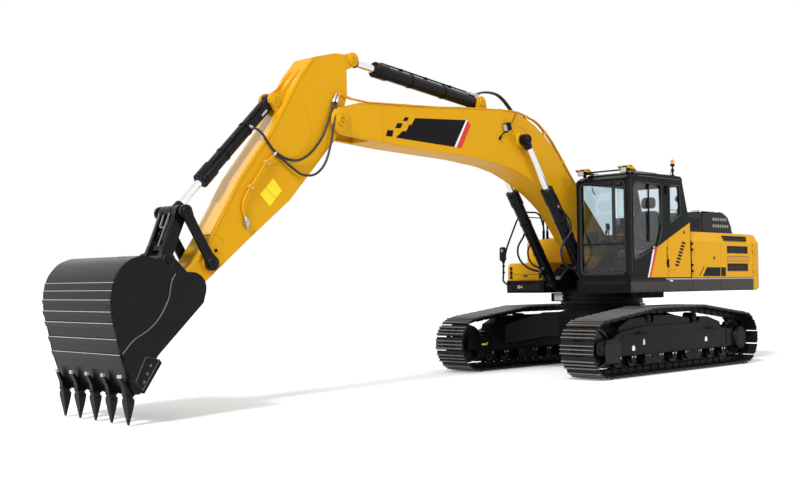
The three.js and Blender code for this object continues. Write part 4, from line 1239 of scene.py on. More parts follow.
def buildSkirts():
    piece = Piece("skirt_panels", "upper")
    for side in (1, -1):
        piece.plate([(310, 1306), (310, 1492), (-2590, 1492), (-2598, 1400), (-2592, 1296)], side * 1480,
                    side * 1489, "skirt", 3)
        # top ledge in pale grey: a painted highlight along the skirt
        piece.plate([(310, 1492), (310, 1512), (-2590, 1512), (-2590, 1492)], side * 1476, side * 1500,
                    "highlightPale", 4, 2)
        front = 1318 if side > 0 else 750
        piece.plate([(front, 1470), (front, 1500), (312, 1500), (312, 1470)], side * 1479, side * 1494,
                    "gloss", 4)
        if side > 0:
            piece.plate([(1322, 1306), (1322, 1468), (314, 1468), (314, 1306)], 1478, 1488, "skirt", 3)
        for x in (-500, -1450):
            piece.box((x - 3, side * 1486, 1300), (x + 3, side * 1491, 1490), "label", 0)
    piece.box((110, 1489, 1462), (205, 1491, 1484), "white", 0)
    piece.finish(slot="black_paint")
    for side in (1, -1):
        for x in range(-2450, 300, 340):
            bolt("upper", (x, side * 1489, 1322), (0, side, 0), 0.6)
        for x in range(400, 1300 if side > 0 else 740, 220):
            bolt("upper", (x, side * (1487 if side > 0 else 1481), 1330), (0, side, 0), 0.7)
    piece = Piece("belly_box", "upper")
    piece.box((-90, 930, 1196), (430, 1180, 1289), "frameBlack", 8)
    piece.finish()
    fins = slats("upper", (-80, 1184, 1243), (20, 0, 0), 26, (7, 10, 84), (0, 0, 0), "frameBlack")
    joinMeshes("belly_fins", "upper", [fins])


hood = {
    "ribs": 10, "firstRib": -2410, "slots": 9, "firstSlot": -2310, "pitch": 64, "top": 2700,
    "fallFrom": -2150, "fall": 0.36,
}


def buildHood():
    piece = Piece("hood_cover", "hood")
    pitch = hood["pitch"]
    for i in range(hood["ribs"]):
        x = hood["firstRib"] + i * pitch
        top = hood["top"] - max(0, hood["fallFrom"] - x) * hood["fall"]
        path = bentPath([(x, 1110, 2420), (x, 1110, top - 95), (x + 2, 1010, top), (x + 2, -560, top),
                         (x, -660, top - 95),
                         (x, -660, 2420)], 90, 4)
        piece.tube(path, 15, "hoodGrey", 6)
    skin = [(-1425, 2304), (-2466, 2304), (-2430, 2440), (-2322, 2595), (-2175, 2664), (-2060, 2688),
            (-1425, 2644)]
    piece.plate(skin, 1148, 1155, "hoodGrey", 2)
    piece.plate(skin, -705, -698, "hoodGrey", 2)
    for z in (2440, 2560):
        for i in range(z == 2560, hood["slots"]):  # the upper row starts one slot later
            x = hood["firstSlot"] + i * pitch
            piece.box((x - 13, 1152, z - 26), (x + 13, 1159, z + 26), "highlightPale", 6, 2)
    piece.tube(bentPath([(-1560, 1040, 2640), (-1560, 1040, 2712), (-1560, 860, 2712), (-1560, 860, 2640)],
                        30), 8, "bright", 8)
    piece.box((-1500, 0, 2650), (-1440, 420, 2668), "hoodGrey", 6, 2)
    piece.finish(slot="dark_plastic")
    piece = Piece("intake_cover", "upper")
    piece.plate([(-762, 2310), (-762, 2600), (-800, 2644), (-1360, 2652), (-1398, 2620), (-1398, 2310)], 552,
                1158,
                "hoodGrey", 14, 2)
    for i in range(8):
        piece.box((-1340 + i * 66, 1157, 2380), (-1306 + i * 66, 1161, 2560), "label", 3)
    piece.tube(bentPath([(-820, 1000, 2640), (-820, 1000, 2696), (-820, 780, 2696), (-820, 780, 2640)], 30),
               8, "bright", 8)
    piece.finish("intake_box", slot="dark_plastic")
    piece = Piece("bay_top_fittings", "upper")
    for x in (-1400, -640):
        piece.box((x - 110, -1300, 2298), (x + 110, -1180, 2312), "grip", 3)
    piece.lathe([(2290, 120), (2420, 120), (2440, 105), (2440, 60), (2520, 60), (2526, 45), (2526, 0)],
                (-1900, -900, 0), (0, 0, 1),
                "black", 28)
    piece.tube(bentPath([(-1900, -900, 2500), (-1900, -900, 2600), (-2000, -900, 2640)], 60), 44, "black", 16)
    piece.finish()


def buildCounterweight():
    piece = Piece("counterweight_fittings", "upper")
    for y in (-900, 900):
        piece.lathe([(2284, 70), (2296, 70), (2300, 60), (2300, 0)], (-2860, y, 0), (0, 0, 1), "castYellow",
                    24)
        piece.tube(bentPath([(-2800, y, 2290), (-2800, y, 2372), (-2920, y, 2372), (-2920, y, 2290)], 50), 15,
                   "bright", 10)
    for y in (-560, 560):
        piece.box((-3452, y - 70, 1860), (-3400, y + 70, 1930), "black", 8, 2)
        piece.box((-3458, y - 56, 1872), (-3448, y + 56, 1918), "red", 3)
    piece.finish(slot="cast_weight")


buildBayDoors()
buildSkirts()
buildHood()
buildCounterweight()
print("engine end built")

# pins of boom, arm and bucket, as x and z
pins = {
    "boomFoot": (60, 1870),
    "boomTip": (6184, 3642),
    "boomRamFoot": (900, 1420),
    "boomRamEye": (2470, 3692),
    "armRamFoot": (3203, 4226),
    "armRamEye": (5842, 4521),
    "bucketRamFoot": (7166, 3829),
    "leverFoot": (8240, 1744),
    "leverTop": (8600, 2340),
    "linkEnd": (8830, 1765),
    "bucket": (8552, 1465),
}


def pinAt(name, y):
    return pins[name][0], y, pins[name][1]


# hoses: a free hose is a tube along its own route, declared with its real length
hoseLengths = []


def hose(name, body, points, diameter, look="rubber", across=None):
    path = flowingPath(points)
    piece = Piece(name, None if across else body)
    piece.tube(path, diameter / 2, look, 10)
    made = piece.finish(slot="dark_plastic")
    if across:
        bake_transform(made)
    length = sum((b - a).length for a, b in zip(path, path[1:]))
    hoseLengths.append((name, round(length, 2), diameter))
    return made


def pinCap(body, pin, y, side, radius, thick=16, look="gloss", bolts=3):
    x, z = pin
    piece = Piece(f"pin_cap_{body}_{round(x)}_{round(abs(y))}_{'l' if side > 0 else 'r'}", body)
    piece.lathe([(-6, radius * 0.9), (0, radius), (thick * 0.6, radius), (thick, radius * 0.86),
                 (thick, radius * 0.55),
                 (thick * 0.55, radius * 0.5), (thick * 0.55, 0)], (x, y, z), (0, side, 0), look, 32)
    piece.lathe([(thick * 0.5, radius * 0.3), (thick * 1.2, radius * 0.26), (thick * 1.2, 0)], (x, y, z),
                (0, side, 0),
                look, 20)
    piece.finish(slot="black_paint")
    if bolts:
        boltRing(body, (x, y + side * thick, z), (0, side, 0), radius * 0.7, bolts, 0.6, look)


# boom: edge strips, pin bosses, pipes on its back, lamp, blank stickers
boomLook = {
    "half": 245,
    "backPipes": [(5654, 3935), (4988, 3975), (4278, 4018), (3828, 4060), (3254, 4098), (2901, 4122),
                  (2515, 4132),
                  (2281, 4088), (2025, 4022), (1800, 3880), (1604, 3722), (1341, 3441), (1106, 3183),
                  (883, 2974)],
    "pipeRows": (228, 196, -196, -228), "pipeRadius": 12, "eyeRing": 215,
    "sign": [(5172, 3501), (5039, 3606), (4968, 3609), (4905, 3708), (4860, 3710), (4790, 3812), (3716, 3890),
             (3978, 3468)],
    "squares": [[(5365, 3508), (5331, 3592), (5213, 3600), (5243, 3508)],
                [(5185, 3637), (5139, 3708), (5033, 3715), (5079, 3640)],
                [(5032, 3750), (4990, 3806), (4910, 3810), (4950, 3750)]],
    "white": [(3978, 3468), (3716, 3890), (3678, 3892), (3936, 3466)],
    "red": [(3930, 3465), (3676, 3892), (3612, 3822), (3819, 3464)],
}


def offsetLine(line, reach):
    moved = []
    for i, point in enumerate(line):
        before, after = line[max(i - 1, 0)], line[min(i + 1, len(line) - 1)]
        ahead = (Vector(after) - Vector(before)).normalized()
        moved.append((point[0] - ahead.y * reach, point[1] + ahead.x * reach))
    return moved


def weldStrip(piece, line, y, side, radius=6, look="yellow"):
    piece.tube([at(x, y + side * 1, z) for x, z in line], radius, look, 6)


def buildBoom():
    look = boomLook
    half = look["half"]
    piece = Piece("boom_signs", "boom")
    for side in (1, -1):
        piece.plate(look["sign"], side * half, side * (half + 1.4), "label", 0)
        for square in look["squares"]:
            piece.plate(square, side * half, side * (half + 1.4), "label", 0)
        piece.plate(look["white"], side * half, side * (half + 1.8), "white", 0)
        piece.plate(look["red"], side * half, side * (half + 1.8), "red", 0)
    piece.finish(slot="yellow_paint")
    piece = Piece("boom_pipes", "boom")
    for row in look["pipeRows"]:
        piece.tube(flowingPath([(x, row, z + 6) for x, z in look["backPipes"]], 3), look["pipeRadius"],
                   "yellow", 8)
    for x, z in look["backPipes"][1:-1:2]:
        for side in (1, -1):
            low, high = sorted((side * 182, side * 242))
            piece.box((x - 24, low, z - 34), (x + 24, high, z + 20), "yellow", 4)
            bolt("boom", (x, side * 212, z + 20), (0, 0, 1), 0.6, "bright")
    piece.finish(slot="yellow_paint")
    piece = Piece("boom_edges", "boom")
    upper = [(880, 2940), (1130, 3155), (1400, 3440), (1597, 3640), (1858, 3840), (2120, 3987), (2340, 4074),
             (2600, 4136),
             (2934, 4151), (4687, 3995), (5870, 3926)]
    lower = [(880, 2096), (1060, 2290), (1244, 2490), (1400, 2640), (1576, 2765), (1805, 2900), (2030, 3010),
             (2273, 3112), (2583, 3215), (2953, 3289), (3638, 3346), (5092, 3391), (6023, 3449)]
    for side in (1, -1):
        weldStrip(piece, [(x, z - 18) for x, z in upper], side * half, side, 5)
        weldStrip(piece, [(x, z + 6) for x, z in lower], side * half, side, 9)
        weldStrip(piece, [(2160, 3075), (2400, 3400)], side * half, side, 3)
        weldStrip(piece, [(5420, 3420), (5440, 3925)], side * half, side, 3)
        weldStrip(piece, [(1490, 2700), (1180, 3120)], side * half, side, 3)
        eyeRing = arc(pins["boomRamEye"], look["eyeRing"], 0, 360, 48)[:-1]
        ring = [at(x, side * (half + 1), z) for x, z in eyeRing]
        piece.tube(ring, 4, "yellow", 6, closed=True)
        piece.lathe([(0, 170), (12, 162), (18, 150), (18, 0)], pinAt("boomTip", side * half), (0, side, 0),
                    "yellow", 40)
        piece.lathe([(0, 118), (40, 112), (48, 104), (48, 0)], pinAt("boomRamEye", side * half), (0, side, 0),
                    "yellow", 40)
        piece.lathe([(0, 170), (14, 164), (20, 150), (20, 0)], pinAt("boomFoot", side * half), (0, side, 0),
                    "yellow", 40)
    piece.finish(slot="yellow_paint")
    for side in (1, -1):
        pinCap("boom", pins["boomTip"], side * 262, side, 74, 20, "yellow", 4)
        pinCap("boom", pins["armRamFoot"], side * 117, side, 58, 14, "yellow", 3)
        piece = Piece(f"boom_tip_catch_{'left' if side > 0 else 'right'}", "boom")
        piece.tube(bentPath([(6236, side * 290, 3600), (6190, side * 300, 3560), (6150, side * 300, 3600),
                             (6150, side * 300, 3700),
                             (6190, side * 296, 3730)], 30), 8, "yellow", 8)
        piece.finish()
    piece = Piece("boom_lamp", "boom")
    piece.block((2815, 285, 3868), (120, 70, 120), leaning(0.9, -0.35), "black", 14, 2)
    piece.block((2868, 290, 3850), (10, 62, 100), leaning(0.9, -0.35), "lens", 8, 2)
    piece.box((2780, 244, 3790), (2830, 270, 3850), "black", 4)
    piece.tube(flowingPath([(2800, 270, 3800), (2870, 254, 3770), (2930, 252, 3720), (2965, 252, 3684)], 4),
               9, "black", 8)
    piece.block((2950, 256, 3690), (70, 26, 26), leaning(0.6, -0.8), "black", 5)
    piece.finish(slot="black_paint")
    hose("lamp_cable", "boom", [(2780, 262, 3880), (2700, 262, 3920), (2640, 260, 3990), (2590, 258, 4060),
                                (2560, 240, 4110)],
         10)


def ram(name, bodies, foot, eye, y, half, size, replaced):
    a, b = Vector((foot[0], 0, foot[1])), Vector((eye[0], 0, eye[1]))
    along = (b - a).normalized()
    span = (b - a).length
    barrel, bore, rod = size["barrel"], size["rod"] + 4, size["rod"]
    gland, collar = size["gland"], size["collar"]
    origin = (foot[0], y, foot[1])
    piece = Piece(f"{name}_barrel", bodies[0])
    piece.lathe([(size["eye"] * 0.7, barrel * 0.6), (size["eye"] + 14, barrel * 0.96),
                 (size["eye"] + 34, barrel),
                 (gland - collar, barrel), (gland - collar + 8, barrel + 14), (gland - 60, barrel + 14),
                 (gland - 56, barrel + 4), (gland - 46, barrel + 4), (gland - 42, barrel + 14),
                 (gland - 8, barrel + 14),
                 (gland, barrel + 4), (gland, bore), (size["inner"] - 40, bore), (size["inner"] - 40, 0)],
                origin, along, "gloss", 32)
    piece.lathe([(-half, size["eye"]), (half, size["eye"]), (half, 0)], origin, (0, 1, 0), "gloss", 32,
                bevel=4)
    side = along.cross(Vector((0, 1, 0)))
    if side.z < 0:
        side = -side
    port = size["pipeSide"]
    offset = barrel + 24
    p0 = Vector(origin) + along * (size["eye"] + 130) + side * offset * port[0] + Vector((0, offset * port[1],
            0))
    p1 = Vector(origin) + along * (gland - 120) + side * offset * port[0] + Vector((0, offset * port[1], 0))
    inward = -(side * port[0] + Vector((0, port[1], 0)))
    piece.tube(bentPath([p0 + inward * 40, p0, p1, p1 + inward * 40], 40), 13, "gloss", 8)
    for t in (0.22, 0.5, 0.78):
        middle = p0 + (p1 - p0) * t + inward * 12
        piece.block(middle, (52, 44, 44), (along, side, (0, 1, 0)), "black", 5)
    for d in (0.33, 0.66):
        ringAt = size["eye"] + (gland - size["eye"]) * d
        piece.lathe([(ringAt - 16, barrel + 1), (ringAt - 16, barrel + 7), (ringAt + 16, barrel + 7),
                     (ringAt + 16, barrel + 1)],
                    origin, along, "black", 32)
    piece.finish(replaced[0], slot="black_paint")
    boltRing(bodies[0], Vector(origin) + along * gland, along, barrel - 6, 10, 0.8)
    boltRing(bodies[0], Vector(origin) + along * (gland - collar + 60), along, barrel + 12, 10, 0.45)
    piece = Piece(f"{name}_rod", bodies[1])
    piece.lathe([(size["inner"], 0), (size["inner"], rod), (span - size["eye"] - 30, rod),
                 (span - size["eye"] * 0.5, rod)],
                origin, along, "chrome", 32)
    look = size.get("eyeLook", "gloss")
    piece.lathe([(span - size["eye"] - 70, rod + 2), (span - size["eye"] - 60, rod + 12),
                 (span - size["eye"] * 0.6, rod + 18),
                 (span - size["eye"] * 0.6, 0)], origin, along, look, 32)
    piece.lathe([(-half, size["eye"]), (half, size["eye"]), (half, 0)], (eye[0], y, eye[1]), (0, 1, 0), look,
                32, bevel=4)
    piece.finish(replaced[1], slot="rod_chrome")


rams = {
    "boom": {"barrel": 92, "rod": 52, "gland": 1860, "inner": 1090, "eye": 88, "collar": 260,
             "pipeSide": (0.2, 0.98)},
    "arm": {"barrel": 98, "rod": 56, "gland": 2161, "inner": 720, "eye": 92, "collar": 240,
            "pipeSide": (1, 0)},
    "bucket": {"barrel": 88, "rod": 48, "gland": 1524, "inner": 570, "eye": 85, "collar": 250,
               "pipeSide": (0.7, 0.7)},
}


def buildRams():
    for name, side in (("left", 1), ("right", -1)):
        size = {**rams["boom"], "pipeSide": (0.2, side * 0.98)}
        ram(f"boom_ram_{name}", ("boom_barrels", "boom_rods"), pins["boomRamFoot"], pins["boomRamEye"],
            side * 356, 48, size,
            (f"boom_cylinder_{name}_barrel", f"boom_cylinder_{name}_rod"))
    ram("arm_ram", ("arm_barrel", "arm_rod"), pins["armRamFoot"], pins["armRamEye"], 0, 60, rams["arm"],
        ("arm_cylinder_barrel", "arm_cylinder_rod"))
    ram("bucket_ram", ("bucket_barrel", "bucket_rod"), pins["bucketRamFoot"], pins["leverTop"], 0, 60,
        rams["bucket"],
        ("bucket_cylinder_barrel", "bucket_cylinder_rod"))
    for side in (1, -1):
        pinCap("boom_rods", pins["boomRamEye"], side * 404, side, 82, 26, "gloss", 4)
        pinCap("boom_barrels", pins["boomRamFoot"], side * 404, side, 74, 14, "gloss", 3)


# arm: front strip, pin bosses, pipe with valve, blank plate
armLook = {
    "half": 190,
    "edge": [(6607, 4436), (6827, 4171), (7283, 3419), (7776, 2786), (8230, 2019), (8400, 1775)],
    "back": [(6100, 3760), (6180, 3480), (6241, 3382), (7004, 2552), (7631, 2057), (8274, 1530)],
    "sticker": [(7474, 2603), (7267, 2809), (7132, 2664), (7324, 2459)],
    "pipe": [(7290, 3090), (7418, 2982), (7704, 2591), (7758, 2480), (7758, 2389), (7723, 2305)],
}


def buildArm():
    look = armLook
    half = look["half"]
    piece = Piece("arm_edges", "arm")
    for side in (1, -1):
        weldStrip(piece, offsetLine(look["edge"], -16), side * half, side, 7)
        weldStrip(piece, [(x, z + 14) for x, z in look["back"]], side * half, side, 6)
        weldStrip(piece, [(6790, 3807), (6700, 3640), (6650, 3480), (6698, 3304), (6900, 3120), (7302, 2961)],
                  side * half, side, 3)
        weldStrip(piece, [(8010, 2010), (8180, 2110)], side * half, side, 4)
        piece.lathe([(0, 98), (14, 92), (18, 84), (18, 0)], pinAt("armRamEye", side * 116), (0, side, 0),
                    "yellow", 36)
        piece.lathe([(0, 92), (12, 88), (14, 80), (14, 0)], pinAt("bucketRamFoot", side * 116), (0, side, 0),
                    "yellow", 36)
        piece.lathe([(-8, 20), (10, 20), (12, 16), (12, 0)], (8133, side * half, 1897), (0, side, 0), "black",
                    16)
        if side > 0:
            piece.plate(look["sticker"], side * half, side * (half + 1.5), "noteYellow", 0)
            piece.tube([at(7399, half + 2, 2706), at(7228, half + 2, 2561)], 1.6, "label", 6)
    piece.finish(slot="yellow_paint")
    for side in (1, -1):
        pinCap("arm", pins["armRamEye"], side * 130, side, 52, 12, "yellow", 3)
        pinCap("arm", pins["bucketRamFoot"], side * 127, side, 52, 12, "yellow", 3)
    piece = Piece("arm_pipe", "arm")
    path = bentPath([(x, half + 32, z) for x, z in look["pipe"]], 60)
    piece.tube(path, 15, "yellow", 12)
    for x, z in ((7400, 3000), (7640, 2680)):
        piece.block((x, half + 26, z), (60, 54, 44), leaning(0.55, -0.83), "yellow", 6)
        bolt("arm", (x + 20, half + 53, z + 14), (0, 1, 0), 0.7, "bright")
        bolt("arm", (x - 20, half + 53, z - 14), (0, 1, 0), 0.7, "bright")
    piece.lathe([(0, 20), (30, 26), (60, 26), (64, 18), (96, 18), (100, 24), (130, 24), (136, 14), (160, 14),
                 (160, 0)],
                (7727, half + 32, 2318), (-0.25, 0, -0.97), "bright", 12)
    piece.block((7712, half + 40, 2240), (50, 60, 60), leaning(0.97, -0.25), "bright", 8)
    piece.lathe([(0, 22), (20, 24), (44, 24), (52, 14), (70, 14), (70, 0)], (7290, half + 32, 3096),
                (-0.75, 0, 0.66), "bright", 12)
    piece.finish(slot="yellow_paint")
    piece = Piece("arm_foot_plates", "arm")
    for side in (1, -1):
        piece.plate([(6660, 4330), (6780, 4250), (7000, 4000), (7150, 3905), (7230, 3850), (7250, 3780),
                     (7120, 3720), (7000, 3860)],
                    side * 70, side * 94, "yellow", 4)
    piece.finish(slot="yellow_paint")


def buildArmFront():
    line = [(6850, 4132), (7283, 3419), (7776, 2786), (8200, 2086)]
    piece = Piece("arm_front_plate", "arm")
    inner = offsetLine(line, 6)
    outer = offsetLine(line, -5)
    # thin plate in the lighter yellow along the arm's front: a painted highlight
    piece.plate(outer + inner[::-1], -172, 172, "paintedHighlightYellow", 1, corner=50)
    piece.finish(slot="yellow_paint")


def buildArmHoses():
    joint = {"other": "arm", "start": (6240, 230, 3830), "end": (6650, 230, 3150)}
    hose("arm_hose_upper", "boom", [(6290, 219, 3870), (6340, 232, 3740), (6400, 240, 3600),
                                    (6500, 244, 3400), (6690, 240, 3180),
                                    (6887, 226, 3066), (7090, 218, 3075), (7270, 216, 3160),
                                    (7370, 215, 3262), (7440, 211, 3344),
                                    (7476, 196, 3384), (7504, 168, 3414), (7520, 137, 3430),
                                    (7530, 104, 3441)], 32, across=joint)
    hose("arm_hose_lower", "boom", [(6235, 219, 3870), (6282, 246, 3720), (6330, 262, 3540),
                                    (6370, 262, 3330), (6470, 262, 3060),
                                    (6640, 262, 2900), (6850, 258, 2880), (7030, 250, 2970),
                                    (7160, 234, 3060), (7262, 214, 3118)],
         32, across=joint)
    piece = Piece("boom_tip_fittings", "boom")
    for y, x in ((219, 6290), (219, 6235)):
        piece.lathe([(-8, 22), (34, 22), (36, 18), (110, 15), (120, 12), (120, 0)], (x, y, 3884),
                    (-0.42, 0, 0.9), "bright", 12)
        piece.tube(bentPath([(x - 44, y, 3984), (x - 90, y, 4010), (x - 260, y - 8, 3960),
                             (x - 600, y - 20, 3944)], 50), 14, "yellow", 10)
    piece.finish(slot="rod_chrome")
    piece = Piece("bucket_ram_port", "bucket_barrel")
    piece.lathe([(-30, 22), (0, 24), (46, 24), (50, 20), (60, 20), (60, 0)], (7544, 74, 3452),
                (-0.3, 0.9, -0.3), "bright", 12)
    piece.block((7550, 66, 3470), (90, 60, 60), leaning(0.69, -0.72), "gloss", 8)
    piece.block((7330, 92, 3640), (110, 24, 24), leaning(0.69, -0.72), "bright", 6)
    piece.finish(slot="rod_chrome")
    for i, y in enumerate((22, 62)):
        hose(f"arm_ram_hose_{i + 1}", "boom",
             [(3290 - i * 40, y, 4340), (3140, y + 4, 4392), (2967, y + 14, 4412), (2800, y + 26, 4396),
                                              (2660, y + 34, 4330), (2560, y + 40, 4250),
              (2480, y + 42, 4180), (2425, y + 44, 4094)], 30)
    piece = Piece("arm_ram_ports", "boom")
    for i, y in enumerate((22, 62)):
        piece.lathe([(0, 20), (60, 20), (64, 16), (90, 16), (90, 0)], (3270 - i * 40, y, 4344),
                    (0.98, 0, -0.2), "bright", 12)
        piece.block((3400 - i * 20, y, 4342), (110, 34, 34), leaning(0.98, 0.11), "bright", 6)
    piece.finish(slot="rod_chrome")


# bucket linkage: levers, link, pin caps
def barBetween(piece, a, b, radiusA, radiusB, y0, y1, look, waist=0.62):
    pa, pb = Vector(a), Vector(b)
    ahead = (pb - pa).normalized()
    turn = math.degrees(math.atan2(ahead.y, ahead.x))
    start = arc(a, radiusA, turn + 90, turn + 270, 14)
    end = arc(b, radiusB, turn - 90, turn + 90, 14)
    middle = (pa + pb) / 2
    normal = Vector((-ahead.y, ahead.x))
    wide = min(radiusA, radiusB) * waist
    reachA, reachB = radiusA * 1.15, radiusB * 1.15
    low = [tuple(pa + ahead * reachA - normal * wide), tuple(middle - normal * wide * 0.94),
           tuple(pb - ahead * reachB - normal * wide)]
    high = [tuple(pb - ahead * reachB + normal * wide), tuple(middle + normal * wide * 0.94),
            tuple(pa + ahead * reachA + normal * wide)]
    piece.plate(start + low + end + high, y0, y1, look, 5, 2)


def buildLinkage():
    for name, side in (("left", 1), ("right", -1)):
        piece = Piece(f"lever_bar_{name}", "levers")
        barBetween(piece, pins["leverFoot"], pins["leverTop"], 92, 84, side * 243, side * 283, "gloss", 0.72)
        for pin in ("leverFoot", "leverTop"):
            piece.lathe([(-53, 62), (0, 62), (0, 0)], pinAt(pin, side * 243), (0, side, 0), "gloss", 28)
        piece.finish(f"lever_{name}", slot="black_paint")
        for pin, radius in (("leverFoot", 74), ("leverTop", 68)):
            pinCap("levers", pins[pin], side * 283, side, radius, 14, "gloss", 3)
        pinCap("bucket", pins["linkEnd"], side * 237, side, 92, 22, "gloss", 4)
        pinCap("bucket", pins["bucket"], side * 237, side, 100, 22, "gloss", 4)
    piece = Piece("bucket_link_frame", "link")
    for side in (1, -1):
        barBetween(piece, pins["leverTop"], pins["linkEnd"], 84, 84, side * 120, side * 184, "gloss", 0.9)
        piece.lathe([(0, 80), (56, 80), (56, 0)], pinAt("leverTop", side * 66), (0, side, 0), "gloss", 28)
    piece.block((8700, 0, 2090), (170, 250, 34), leaning(0.37, -0.93), "gloss", 6, 2)
    piece.block((8775, 0, 1905), (60, 250, 90), leaning(0.37, -0.93), "gloss", 6, 2)
    for side in (1, -1):
        piece.tube([at(8640 + 78, side * 108, 2330), at(8640 + 235, side * 108, 1935)], 9, "trim", 8)
    piece.tube(bentPath([(8690, 60, 2310), (8745, 60, 2160), (8745, -60, 2160), (8690, -60, 2310)], 40), 12,
               "trim", 8)
    piece.lathe([(-184, 80), (184, 80), (184, 0)], pinAt("linkEnd", 0), (0, 1, 0), "gloss", 28)
    piece.finish("bucket_link", slot="black_paint")


buildBoom()
buildRams()
buildArm()
buildArmFront()
buildArmHoses()
buildLinkage()
print("boom, arm and rams built")

# bucket: curved shell, wear strips, side plates, cutters, ears and teeth
bucketLook = {
    "half": 755, "wall": 30, "sideThick": 28, "toothPitch": 342, "toothCount": 5,
    "shell": [(9494, 345), (9606, 430), (9721, 730), (9784, 1000), (9828, 1180), (9838, 1350), (9815, 1500),
              (9765, 1620),
              (9656, 1738), (9540, 1790), (9446, 1808), (9285, 1770), (9150, 1715), (9000, 1640),
              (8860, 1560), (8706, 1470)],
    "mouth": [(8690, 1400), (8712, 1300), (9348, 665)],
    "lobe": [(9067, 1625), (8927, 1632), (8800, 1625), (8712, 1572), (8672, 1500), (8668, 1420),
             (8700, 1290)],
    "weld": [(9060, 1612), (9112, 1520), (9150, 1337), (9255, 1150), (9394, 1014), (9579, 906), (9712, 765)],
    "strips": [(1452, 1520, 10), (1400, 1436, 12), (1290, 1340, 16), (1160, 1215, 18), (1040, 1095, 18),
               (860, 925, 16), (690, 760, 14)],
    "cutter": [(9440, 722), (9268, 690), (9478, 372), (9560, 470)],
}


def shellPoint(z):
    line = bucketLook["shell"]
    for (x0, z0), (x1, z1) in zip(line, line[1:]):
        if z0 <= z <= z1:
            t = (z - z0) / (z1 - z0)
            return (x0 + (x1 - x0) * t, z), Vector((z1 - z0, -(x1 - x0))).normalized()
    return line[0], Vector((1, 0))


def smoothOutline(points, steps=4):
    flow = flowingPath([(x, 0, z) for x, z in points], steps)
    return [((p.x - slewAxisX) * 1000, p.z * 1000) for p in flow]


